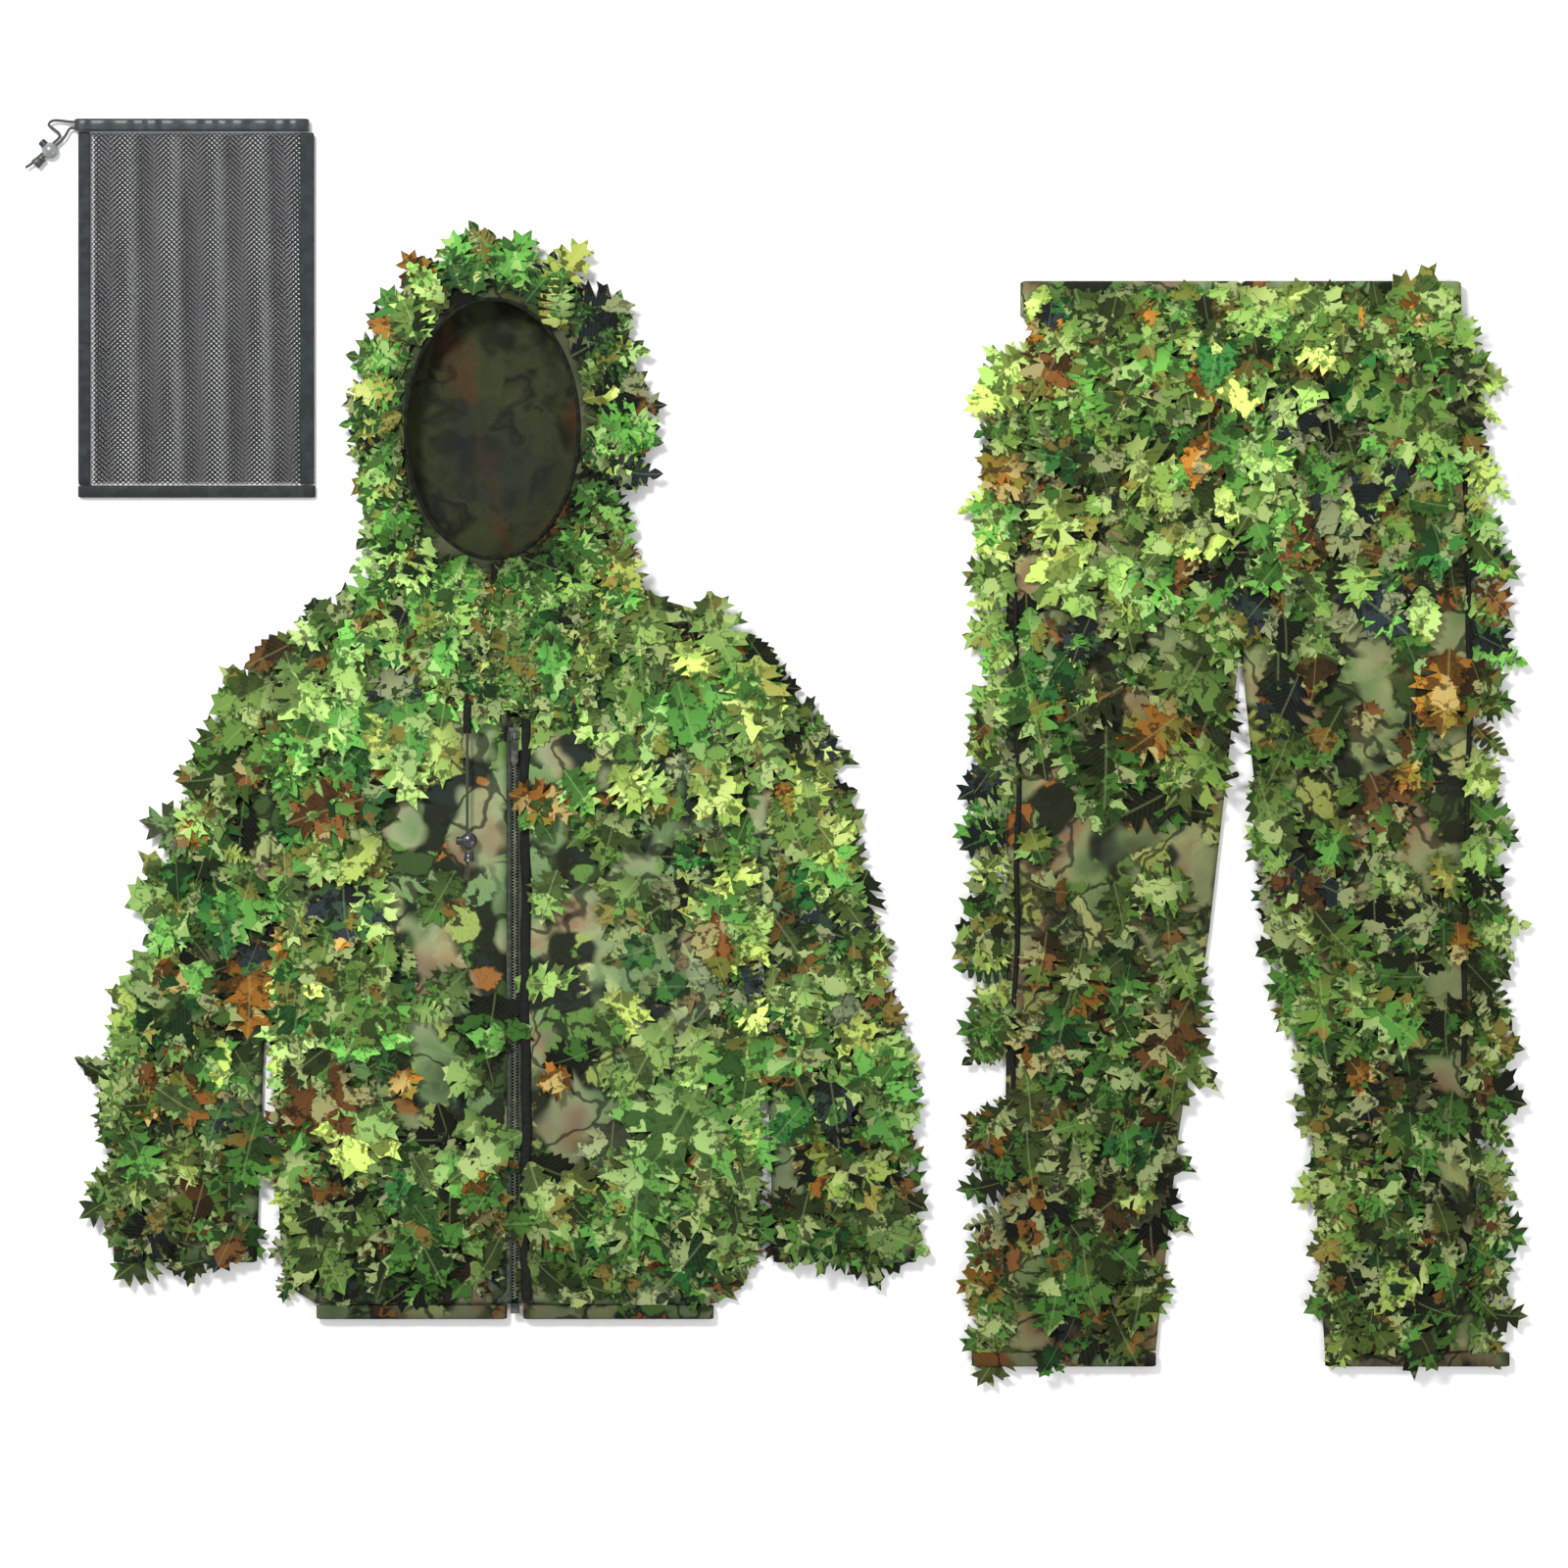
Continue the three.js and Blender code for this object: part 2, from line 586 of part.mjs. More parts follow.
function bellEnd(strands) {
  const start = LOCK_RADIUS + 1;
  const end = start + BELL_LENGTH;
  const bell = rodX(start, end, BELL_MOUTH_RADIUS, BELL_NECK_RADIUS, 14);
  const half = slotSize(strands) / 2;
  const mid = LOCK_BORE_OFFSET;
  const slot = box(start - 1, end + 1, mid - half, mid + half, -CORD_SLOT / 2, CORD_SLOT / 2);
  return cut(bell.translate(0, mid, 0), slot);
}

// Places a fitting in a group: at is the lock's middle, angle is the way the cord runs
function fit(group, name, geometry, at, angle, color, roughness, metalness) {
  const mesh = add(group, name, geometry.rotateX(Math.PI), color, roughness, metalness);
  mesh.rotation.z = angle;
  mesh.position.set(...at);
  return mesh;
}

function fittings(group, prefix, at, angle, strands) {
  fit(group, `${prefix}_cord_lock`, lockBody(strands), at, angle, INK.plastic, 0.4);
  fit(group, `${prefix}_lock_button`, lockButton(strands), at, angle, INK.cord, 0.4);
  fit(group, `${prefix}_lock_spring`, lockSpring(), at, angle, INK.metal, 0.3, 1);
  fit(group, `${prefix}_cord_end`, bellEnd(strands), at, angle, INK.plastic, 0.45);
  for (const piece of ['cord_lock', 'lock_button', 'lock_spring', 'cord_end']) {
    cordPieces.push(`${prefix}_${piece}`);
  }
}

// ---------------------------------------------------------------- hood drawcord

const hoodCordZ = LEAF_Z + LOCK_HEIGHT / 2;
const tunnelNear = Math.abs(HOOD_CORD_X) - HOOD_TUNNEL_WIDTH / 2;
const tunnelTop = JACKET_LENGTH - 2 * SEAT_GAP - CAPE_DROP * Math.sqrt(1 - (tunnelNear / CAPE_HALF) ** 2);

// A stitched tunnel under the cape's edge that the cord leaves
function cordTunnel() {
  const y0 = tunnelTop - HOOD_TUNNEL_LENGTH;
  const half = HOOD_TUNNEL_WIDTH / 2;
  const bore = CORD_SLOT / 2;
  const body = box(HOOD_CORD_X - half, HOOD_CORD_X + half, y0, tunnelTop, LEAF_Z, hoodCordZ + 3.4);
  return cut(body, box(
    HOOD_CORD_X - bore, HOOD_CORD_X + bore, y0 - 1, tunnelTop - 4, hoodCordZ - bore, hoodCordZ + bore,
  ));
}

const hoodLockY = JACKET_LENGTH - HOOD_LOCK_DROP;

// The cord hangs straight from the tunnel through the lock and the bell, and its tail lies on the cloth
function hoodDrawcord() {
  const x = HOOD_CORD_X;
  const z = hoodCordZ;
  const tail = z - LOCK_HEIGHT / 2 + CORD_DIAMETER / 2 + 0.2;
  const points = [
    [x, tunnelTop - 4 - SEAT_GAP, z],
    [x, tunnelTop - HOOD_TUNNEL_LENGTH - 20, z],
    [x, hoodLockY + 40, z],
    [x, hoodLockY + 10, z],
    [x, hoodLockY - 10, z],
    [x, hoodLockY - LOCK_RADIUS - BELL_LENGTH - 2, z],
    [x - 0.5, hoodLockY - LOCK_RADIUS - BELL_LENGTH - 9, z - 1.5],
    [x - 2, hoodLockY - LOCK_RADIUS - BELL_LENGTH - 15, tail],
    [x - 4, hoodLockY - LOCK_RADIUS - BELL_LENGTH - 21, tail],
  ];
  return cordTube(points, 30);
}

add(jacket, 'hood_cord_tunnel', cordTunnel(), INK.band);
add(jacket, 'hood_drawcord', hoodDrawcord(), INK.cord);
cordPieces.push('hood_drawcord');
const hoodLockAt = [HOOD_CORD_X + LOCK_BORE_OFFSET, hoodLockY, hoodCordZ];
fittings(jacket, 'hood', hoodLockAt, -Math.PI / 2, 1);

// ---------------------------------------------------------------- trousers

const trousers = new THREE.Group();
trousers.position.set(...TROUSERS_AT, 0);
suit.add(trousers);

// One half on the +X side; inner is the centre line's distance, top and low bound the cloth
function legOutline(inner, top, low, spread) {
  const crotch = -RISE;
  return [
    [inner, top],
    [inner, crotch],
    [14, crotch - 133],
    [30 + spread * 0.5, crotch - 276],
    [60 + spread, crotch - 475],
    [82, low],
    [HIP_HALF + 4, low],
    [HIP_HALF, -RISE - 350],
    [HIP_HALF, -RISE + 50],
    [HIP_HALF - 11, top - 60],
    [WAIST_BAND_HALF, top],
  ];
}

function trouserHalf(side, name, spread) {
  const top = -WAIST_BAND - SEAT_GAP;
  const low = -TROUSER_LENGTH + ANKLE_BAND + SEAT_GAP;
  const outline = mirrored(legOutline(FOLD_GAP, top, low, spread), side);
  add(trousers, `trousers_back_${name}`, slab(outline, 0, BACK_THICK), INK.backCloth);
  add(trousers, `trousers_front_${name}`, slab(outline, FRONT_Z, FRONT_THICK), INK.cloth);

  const x0 = side > 0 ? FOLD_GAP : -WAIST_BAND_HALF;
  const x1 = side > 0 ? WAIST_BAND_HALF : -FOLD_GAP;
  const band = casing(x0, x1, -WAIST_BAND, 0, 0, FRONT_TOP, CASING_WALL);
  add(trousers, `waistband_${name}`, band, INK.cloth);
  const play = CASING_WALL + SEAT_GAP;
  const elastic = box(x0 + 0.5, x1 - 0.5, -WAIST_BAND + play, -play, play, FRONT_TOP - play);
  add(trousers, `waist_elastic_${name}`, elastic, INK.band);

  const ankleNear = Math.min(side * 82, side * (HIP_HALF + 4));
  const ankleFar = Math.max(side * 82, side * (HIP_HALF + 4));
  const ankle = box(ankleNear, ankleFar, -TROUSER_LENGTH, -TROUSER_LENGTH + ANKLE_BAND, 0, FRONT_TOP - 4);
  add(trousers, `ankle_elastic_${name}`, ankle, INK.band);

  const leafLine = legOutline(5, top - 12, low + 4, spread + 2);
  const free = (x, y) => x > HIP_HALF - 20 || y < low + 5 || (side > 0 && y < -RISE - 150);
  const leaves = leafy(leafLine, free, { pitch: 44, reach: 22 });
  add(trousers, `trousers_leaves_${name}`, slab(mirrored(leaves, side), LEAF_Z, LEAF_THICK), INK.leaf);
}

trouserHalf(-1, 'right', 0);
trouserHalf(1, 'left', 10);

// ---------------------------------------------------------------- bag

const bag = new THREE.Group();
bag.position.set(...BAG_AT, 0);
suit.add(bag);

const bagLeft = -BAG_WIDTH / 2;
const bagRight = BAG_WIDTH / 2;
const bagTop = BAG_HEIGHT / 2;
const bagBottom = -BAG_HEIGHT / 2;
const casingLow = bagTop - BAG_CASING;
const mouthX = bagLeft - 3;

function bagNet(z) {
  const netTop = casingLow - SEAT_GAP;
  const netLow = bagBottom + BAG_BINDING + SEAT_GAP;
  const netLeft = bagLeft + BAG_BINDING + SEAT_GAP;
  const outline = [
    [netLeft, netLow], [bagRight + BAG_FLARE, netLow], [bagRight, netTop], [netLeft, netTop],
  ];
  return slab(outline, z, NET_THICK);
}

function bagSideBinding() {
  const y0 = bagBottom + BAG_BINDING + SEAT_GAP;
  return box(bagLeft, bagLeft + BAG_BINDING, y0, casingLow - SEAT_GAP, 0, BAG_BINDING_THICK);
}

function bagBottomBinding() {
  return box(bagLeft, bagRight + BAG_FLARE, bagBottom, bagBottom + BAG_BINDING, 0, BAG_BINDING_THICK);
}

// The casing is as high as a cord lock, so that the cord leaves it level with the lock's bore
add(bag, 'bag_back_net', bagNet(0), INK.net);
add(bag, 'bag_front_net', bagNet(NET_THICK + SEAT_GAP), INK.net);
const bagCasing = casing(mouthX, bagRight, casingLow, bagTop, 0, LOCK_HEIGHT, BAG_CASING_WALL);
add(bag, 'bag_top_casing', bagCasing, INK.net);
add(bag, 'bag_side_binding', bagSideBinding(), INK.net);
add(bag, 'bag_bottom_binding', bagBottomBinding(), INK.net);

const bagCordZ = LOCK_HEIGHT / 2;
const strandLow = casingLow + BAG_CASING_WALL + CORD_DIAMETER / 2 + 0.5;
const strandHigh = bagTop - BAG_CASING_WALL - CORD_DIAMETER / 2 - 0.5;

// The drawcord runs along the casing and back
function bagCasingCord() {
  const x0 = mouthX + 0.5;
  const turnX = bagRight - 12;
  const mid = (strandLow + strandHigh) / 2;
  const radius = (strandHigh - strandLow) / 2;
  const halfway = (x0 + turnX) / 2;
  const points = [x0, halfway, turnX].map((x) => [x, strandLow, bagCordZ]);
  for (let i = 1; i < 6; i++) {
    const t = -Math.PI / 2 + (Math.PI * i) / 6;
    points.push([turnX + radius * Math.cos(t), mid + radius * Math.sin(t), bagCordZ]);
  }
  points.push(...[turnX, halfway, x0].map((x) => [x, strandHigh, bagCordZ]));
  return cordTube(points, 48);
}

const bagLockAngle = (-137 * Math.PI) / 180;
const bagLockAt = [-139, 152.5, bagCordZ];

// A point seen from the bag's lock: along the cord, and across towards the button
function fromLock(along, across) {
  const c = Math.cos(bagLockAngle);
  const s = Math.sin(bagLockAngle);
  return [bagLockAt[0] + along * c + across * s, bagLockAt[1] + along * s - across * c, bagCordZ];
}

// Pulled straight from the casing's mouth through the lock into the bell
function bagCordStraight() {
  const across = LOCK_BORE_OFFSET - STRAND_PITCH / 2;
  const points = [
    [mouthX - SEAT_GAP, strandLow, bagCordZ],
    [mouthX - 5, strandLow - 0.8, bagCordZ],
    fromLock(-LOCK_RADIUS - 10, across),
    fromLock(-LOCK_RADIUS, across),
    fromLock(LOCK_RADIUS, across),
    fromLock(LOCK_RADIUS + 9, across),
  ];
  return cordTube(points, 22);
}

// Slack: bows out to the left of the mouth, then down through the lock and the bell to the tail
function bagCordSlack() {
  const across = LOCK_BORE_OFFSET + STRAND_PITCH / 2;
  const points = [
    [mouthX - SEAT_GAP, strandHigh, bagCordZ],
    [mouthX - 7, strandHigh + 0.6, bagCordZ],
    [mouthX - 15, strandHigh + 1.6, bagCordZ],
    [mouthX - 22, strandHigh + 1.2, bagCordZ],
    [mouthX - 25.5, strandHigh - 4, bagCordZ],
    [mouthX - 22.5, strandHigh - 9.5, bagCordZ],
    fromLock(-LOCK_RADIUS - 3, across),
    fromLock(-LOCK_RADIUS + 2, across),
    fromLock(LOCK_RADIUS, across),
    fromLock(LOCK_RADIUS + BELL_LENGTH + 2, across),
    fromLock(LOCK_RADIUS + BELL_LENGTH + 9, across + 1),
  ];
  return cordTube(points, 36);
}

add(bag, 'bag_casing_cord', bagCasingCord(), INK.cord);
add(bag, 'bag_cord_straight', bagCordStraight(), INK.cord);
add(bag, 'bag_cord_slack', bagCordSlack(), INK.cord);
cordPieces.push('bag_cord_straight', 'bag_cord_slack');
fittings(bag, 'bag', bagLockAt, bagLockAngle, 2);

// ---------------------------------------------------------------- origin

// The origin is under the middle of the garments and the bag, the free cords left out
suit.updateMatrixWorld(true);
const extent = new THREE.Box3();
suit.traverse((piece) => {
  if (!piece.isMesh || cordPieces.includes(piece.name)) return;
  extent.union(new THREE.Box3().setFromObject(piece, true));
});
const middle = extent.getCenter(new THREE.Vector3());
suit.position.set(-middle.x, -middle.y, -extent.min.z);

export default suit;
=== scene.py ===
"""A suit of leafy camouflage clothing laid flat, front up: a hooded jacket, trousers and a net bag.

Each sub-assembly is a class that builds its meshes, dresses them and says which body they ride on.
Lengths are in metres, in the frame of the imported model.
"""

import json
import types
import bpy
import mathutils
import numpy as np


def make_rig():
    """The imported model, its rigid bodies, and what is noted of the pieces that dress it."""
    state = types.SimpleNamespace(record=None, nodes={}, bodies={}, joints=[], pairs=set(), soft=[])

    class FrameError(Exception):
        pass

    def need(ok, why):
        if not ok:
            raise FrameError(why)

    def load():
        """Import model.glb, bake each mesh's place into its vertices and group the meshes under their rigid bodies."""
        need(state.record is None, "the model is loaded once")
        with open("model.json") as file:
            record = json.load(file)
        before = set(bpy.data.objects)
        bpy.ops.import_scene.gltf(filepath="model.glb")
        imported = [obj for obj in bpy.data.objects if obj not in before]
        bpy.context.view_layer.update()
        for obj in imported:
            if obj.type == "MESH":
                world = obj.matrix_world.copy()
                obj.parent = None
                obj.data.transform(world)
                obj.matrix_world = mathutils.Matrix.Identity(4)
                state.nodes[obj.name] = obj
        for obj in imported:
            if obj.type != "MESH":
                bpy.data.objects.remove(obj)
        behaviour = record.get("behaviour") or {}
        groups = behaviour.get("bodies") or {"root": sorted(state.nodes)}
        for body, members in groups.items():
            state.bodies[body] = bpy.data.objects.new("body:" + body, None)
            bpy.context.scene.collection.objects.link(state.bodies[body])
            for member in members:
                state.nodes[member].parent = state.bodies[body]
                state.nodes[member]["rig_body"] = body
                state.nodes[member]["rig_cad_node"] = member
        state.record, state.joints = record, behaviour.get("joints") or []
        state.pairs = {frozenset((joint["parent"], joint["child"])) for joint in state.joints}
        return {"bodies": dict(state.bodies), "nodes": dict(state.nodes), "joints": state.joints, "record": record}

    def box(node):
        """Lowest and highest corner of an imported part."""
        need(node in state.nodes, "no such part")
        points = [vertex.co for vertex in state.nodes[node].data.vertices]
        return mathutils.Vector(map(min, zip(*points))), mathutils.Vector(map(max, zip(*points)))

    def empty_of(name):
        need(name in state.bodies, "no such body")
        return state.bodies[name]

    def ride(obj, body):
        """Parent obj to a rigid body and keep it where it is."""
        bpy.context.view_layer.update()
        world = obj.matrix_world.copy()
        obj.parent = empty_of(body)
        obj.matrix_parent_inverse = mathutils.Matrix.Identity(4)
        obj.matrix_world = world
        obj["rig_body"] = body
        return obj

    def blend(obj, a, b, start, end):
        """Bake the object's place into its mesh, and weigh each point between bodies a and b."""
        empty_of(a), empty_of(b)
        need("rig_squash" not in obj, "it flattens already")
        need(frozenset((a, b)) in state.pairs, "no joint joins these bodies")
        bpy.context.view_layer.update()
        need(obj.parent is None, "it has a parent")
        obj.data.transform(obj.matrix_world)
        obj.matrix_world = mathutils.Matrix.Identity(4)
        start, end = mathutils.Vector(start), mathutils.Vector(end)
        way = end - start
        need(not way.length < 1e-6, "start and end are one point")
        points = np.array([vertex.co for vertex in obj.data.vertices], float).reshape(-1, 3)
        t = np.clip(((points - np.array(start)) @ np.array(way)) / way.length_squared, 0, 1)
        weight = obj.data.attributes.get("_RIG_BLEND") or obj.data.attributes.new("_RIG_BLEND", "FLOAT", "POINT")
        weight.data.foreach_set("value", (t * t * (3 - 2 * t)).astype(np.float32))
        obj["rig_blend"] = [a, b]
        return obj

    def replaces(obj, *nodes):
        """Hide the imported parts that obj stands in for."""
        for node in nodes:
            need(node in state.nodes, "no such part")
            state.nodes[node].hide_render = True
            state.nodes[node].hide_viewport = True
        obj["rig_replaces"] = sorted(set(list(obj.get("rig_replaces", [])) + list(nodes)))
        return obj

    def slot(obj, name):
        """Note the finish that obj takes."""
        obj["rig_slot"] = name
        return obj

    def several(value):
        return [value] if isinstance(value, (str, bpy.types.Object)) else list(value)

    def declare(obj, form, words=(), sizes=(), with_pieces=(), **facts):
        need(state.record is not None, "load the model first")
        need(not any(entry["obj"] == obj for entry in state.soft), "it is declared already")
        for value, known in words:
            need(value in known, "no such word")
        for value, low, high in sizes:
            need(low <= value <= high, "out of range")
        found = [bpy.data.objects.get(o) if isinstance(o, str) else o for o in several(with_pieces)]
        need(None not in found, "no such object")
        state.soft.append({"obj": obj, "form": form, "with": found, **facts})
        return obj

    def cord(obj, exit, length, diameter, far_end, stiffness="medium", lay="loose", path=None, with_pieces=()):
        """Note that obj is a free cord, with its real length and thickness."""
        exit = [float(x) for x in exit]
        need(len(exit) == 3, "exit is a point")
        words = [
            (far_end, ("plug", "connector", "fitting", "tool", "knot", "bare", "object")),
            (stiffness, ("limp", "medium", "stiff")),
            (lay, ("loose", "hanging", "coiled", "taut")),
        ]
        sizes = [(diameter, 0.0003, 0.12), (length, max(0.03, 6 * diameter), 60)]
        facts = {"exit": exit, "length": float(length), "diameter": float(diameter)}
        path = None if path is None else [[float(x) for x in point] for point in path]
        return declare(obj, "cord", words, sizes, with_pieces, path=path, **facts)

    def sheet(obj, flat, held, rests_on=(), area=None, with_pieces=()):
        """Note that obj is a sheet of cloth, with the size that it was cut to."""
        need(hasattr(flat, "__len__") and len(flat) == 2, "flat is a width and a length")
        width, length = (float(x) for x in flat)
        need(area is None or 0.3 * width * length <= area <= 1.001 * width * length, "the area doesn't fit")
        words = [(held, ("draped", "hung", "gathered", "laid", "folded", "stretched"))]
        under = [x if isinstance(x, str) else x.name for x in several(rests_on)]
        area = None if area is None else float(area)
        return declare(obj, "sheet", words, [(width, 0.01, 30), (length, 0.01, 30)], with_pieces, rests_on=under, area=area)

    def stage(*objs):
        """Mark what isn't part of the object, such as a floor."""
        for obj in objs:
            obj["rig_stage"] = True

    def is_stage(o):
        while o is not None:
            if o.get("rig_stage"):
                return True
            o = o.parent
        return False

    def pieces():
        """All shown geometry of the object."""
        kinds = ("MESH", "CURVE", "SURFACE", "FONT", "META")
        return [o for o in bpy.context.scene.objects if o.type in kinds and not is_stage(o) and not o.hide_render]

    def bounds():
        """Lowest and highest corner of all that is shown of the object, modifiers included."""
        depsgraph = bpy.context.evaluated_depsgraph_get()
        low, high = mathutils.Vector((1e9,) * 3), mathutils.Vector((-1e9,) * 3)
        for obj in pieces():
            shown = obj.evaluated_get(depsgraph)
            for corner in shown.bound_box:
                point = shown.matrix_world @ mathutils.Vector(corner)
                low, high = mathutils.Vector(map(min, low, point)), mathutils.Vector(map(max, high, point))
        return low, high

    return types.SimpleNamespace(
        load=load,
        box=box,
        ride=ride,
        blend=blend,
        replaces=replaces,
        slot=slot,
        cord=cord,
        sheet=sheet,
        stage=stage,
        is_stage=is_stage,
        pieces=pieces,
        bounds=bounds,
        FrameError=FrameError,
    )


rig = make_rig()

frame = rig.load()
CAD_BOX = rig.bounds()

import json
import logging
import math
from collections.abc import Callable, Sequence
from dataclasses import dataclass, field
from enum import Enum

import bpy
import numpy as np
from mathutils import Vector, geometry

log = logging.getLogger("suit")
Array = np.ndarray
Colour = tuple[float, float, float, float]
MM = 0.001
SIZE_FILE = "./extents.json"

CAMERA_AT = (-0.0178, -0.0385)
FRAME_WIDTH = 1.52
SENSOR_MM = 36.0
LENS_MM = 110.0

SIDES = (("right", -1), ("left", 1))
FOLD_BAND = 0.012
FOLD_HEIGHT = 0.032
LEAF_CEILING = 0.0315
CLOTH_THICK = 0.0007
RISE_ALLOWANCE = 0.09  # added to the hood's outline for its rise, a guess
RING_SHARE = 0.62  # of that box that the hood's front fills, a guess
ELLIPSE_SHARE = 0.785  # of its box that an ellipse or a half ellipse fills


def srgb(red: float, green: float, blue: float) -> Colour:
    """Linear colour from display values.

    Args:
        red: 0 to 255.
        green: 0 to 255.
        blue: 0 to 255.

    Returns:
        The colour with an alpha of 1.
    """
    parts = (c / 255 for c in (red, green, blue))
    return (*(c / 12.92 if c <= 0.04045 else ((c + 0.055) / 1.055) ** 2.4 for c in parts), 1.0)


def smooth(value: Array | float) -> Array | float:
    """Smoothstep of a value limited to 0 and 1."""
    t = np.clip(value, 0, 1)
    return t * t * (3 - 2 * t)


# ------------------------------------------------------------------------------ shader graph


def _operator(operation: str, swapped: bool = False) -> Callable[["Wire", "Wire | float"], "Wire"]:
    """A method of Wire that adds a Math node for an operator.

    Args:
        operation: The node's operation.
        swapped: Whether the wire is the second value.

    Returns:
        The method.
    """

    def method(wire: "Wire", other: "Wire | float") -> "Wire":
        return wire.math(operation, *((other, wire) if swapped else (wire, other)))

    return method


class Wire:
    """One output socket, with arithmetic that adds Math nodes."""

    def __init__(self, graph: "Graph", socket: bpy.types.NodeSocket) -> None:
        """Keeps the graph and its socket."""
        self.graph = graph
        self.socket = socket

    def math(self, operation: str, *values: "Wire | float") -> "Wire":
        """A Math node on the values."""
        return self.graph.node("ShaderNodeMath", {"operation": operation}, dict(enumerate(values)))

    __add__ = _operator("ADD")
    __radd__ = _operator("ADD", swapped=True)
    __sub__ = _operator("SUBTRACT")
    __rsub__ = _operator("SUBTRACT", swapped=True)
    __mul__ = _operator("MULTIPLY")
    __rmul__ = _operator("MULTIPLY", swapped=True)
    __truediv__ = _operator("DIVIDE")

    def sin(self) -> "Wire":
        """Sine of self."""
        return self.math("SINE", self)

    def abs(self) -> "Wire":
        """Absolute value of self."""
        return self.math("ABSOLUTE", self)

    def power(self, exponent: float) -> "Wire":
        """self to an exponent."""
        return self.math("POWER", self, exponent)

    def step(self, low: float, high: float) -> "Wire":
        """Smooth step from 0 at low to 1 at high."""
        return self.graph.node(
            "ShaderNodeMapRange",
            {"interpolation_type": "SMOOTHSTEP", "clamp": True},
            {"Value": self, "From Min": low, "From Max": high, "To Min": 0.0, "To Max": 1.0},
        )


class Graph:
    """A material's node tree."""

    def __init__(self, name: str) -> None:
        """Makes a material with an empty tree."""
        self.material = bpy.data.materials.new(name)
        self.material.use_nodes = True
        self.tree = self.material.node_tree
        self.tree.nodes.clear()

    def node(
        self,
        kind: str,
        settings: dict[str, object] | None = None,
        inputs: dict[str | int, object] | None = None,
        out: str | int = 0,
    ) -> Wire:
        """Any node.

        Args:
            kind: The node's type.
            settings: Its properties, set first; "stops" are a ramp's stops.
            inputs: Values or wires by socket.
            out: The output that the wire stands for.

        Returns:
            The wire of that output.
        """
        made = self.tree.nodes.new(kind)
        for key, value in (settings or {}).items():
            if key == "stops":
                self._stops(made.color_ramp, value)
            else:
                setattr(made, key, value)
        for key, value in (inputs or {}).items():
            if isinstance(value, Wire):
                self.tree.links.new(value.socket, made.inputs[key])
            else:
                made.inputs[key].default_value = value
        return Wire(self, made.outputs[out])

    def surface(self, inputs: dict[str | int, object]) -> bpy.types.Material:
        """Ends the tree in a surface with these inputs, and returns the material."""
        shader = self.node("ShaderNodeBsdfPrincipled", {}, inputs)
        output = self.tree.nodes.new("ShaderNodeOutputMaterial")
        self.tree.links.new(shader.socket, output.inputs["Surface"])
        return self.material

    @staticmethod
    def _stops(ramp: bpy.types.ColorRamp, stops: Sequence[tuple[float, Colour]]) -> None:
        """Sets a ramp's stops."""
        while len(ramp.elements) < len(stops):
            ramp.elements.new(1.0)
        for element, (place, colour) in zip(ramp.elements, stops):
            element.position = place
            element.color = colour

    def ramp(
        self, value: Wire, stops: Sequence[tuple[float, Colour]], hard: bool = False
    ) -> Wire:
        """A colour ramp on a value."""
        wire = self.node("ShaderNodeValToRGB", {"stops": stops}, {"Fac": value})
        if hard:
            wire.socket.node.color_ramp.interpolation = "CONSTANT"
        return wire

    def mix(
        self, factor: Wire | float, a: Wire | Colour, b: Wire | Colour, blend: str = "MIX"
    ) -> Wire:
        """A mix of two colours."""
        settings = {"data_type": "RGBA", "blend_type": blend}
        return self.node("ShaderNodeMix", settings, {0: factor, 6: a, 7: b}, 2)

    def place(self, source: str = "print") -> Wire:
        """The coordinates of a UV map, or Object coordinates where source is "object"."""
        if source == "object":
            return self.node("ShaderNodeTexCoord", out="Object")
        return self.node("ShaderNodeUVMap", {"uv_map": source})

    def scaled(self, place: Wire, scale: tuple[float, float, float]) -> Wire:
        """Coordinates scaled along each axis."""
        return self.node("ShaderNodeVectorMath", {"operation": "MULTIPLY"}, {0: place, 1: scale})

    def warped(self, place: Wire, scale: float, amount: float) -> Wire:
        """Coordinates pushed about by noise."""
        push = self.noise(place, scale, 2.0, out="Color")
        centred = self.node(
            "ShaderNodeVectorMath", {"operation": "SUBTRACT"}, {0: push, 1: (0.5, 0.5, 0.5)}
        )
        small = self.scaled(centred, (amount, amount, amount))
        return self.node("ShaderNodeVectorMath", {"operation": "ADD"}, {0: place, 1: small})

    def noise(
        self, place: Wire, scale: float, detail: float = 3.0, rough: float = 0.55, out: str = "Fac"
    ) -> Wire:
        """Noise at a scale in cycles a metre."""
        inputs = {"Vector": place, "Scale": scale, "Detail": detail, "Roughness": rough}
        return self.node("ShaderNodeTexNoise", {"noise_dimensions": "3D"}, inputs, out)

    def cells(self, place: Wire, scale: float, feature: str = "F1", out: str = "Distance") -> Wire:
        """Voronoi cells at a scale in cells a metre."""
        inputs = {"Vector": place, "Scale": scale}
        return self.node("ShaderNodeTexVoronoi", {"feature": feature}, inputs, out)

    def split(self, vector: Wire, axis: str) -> Wire:
        """One part of a vector: X, Y or Z."""
        return self.node("ShaderNodeSeparateXYZ", {}, {0: vector}, axis)

    def weave(self, place: Wire, pitch: float) -> Wire:
        """Height of a plain weave."""
        turns = 2 * math.pi / pitch
        across = (self.split(place, "X") * turns).sin()
        along = (self.split(place, "Y") * turns).sin()
        return across * along * 0.5 + 0.5


Paint = tuple[Wire | Colour, Wire | float, Wire | None]


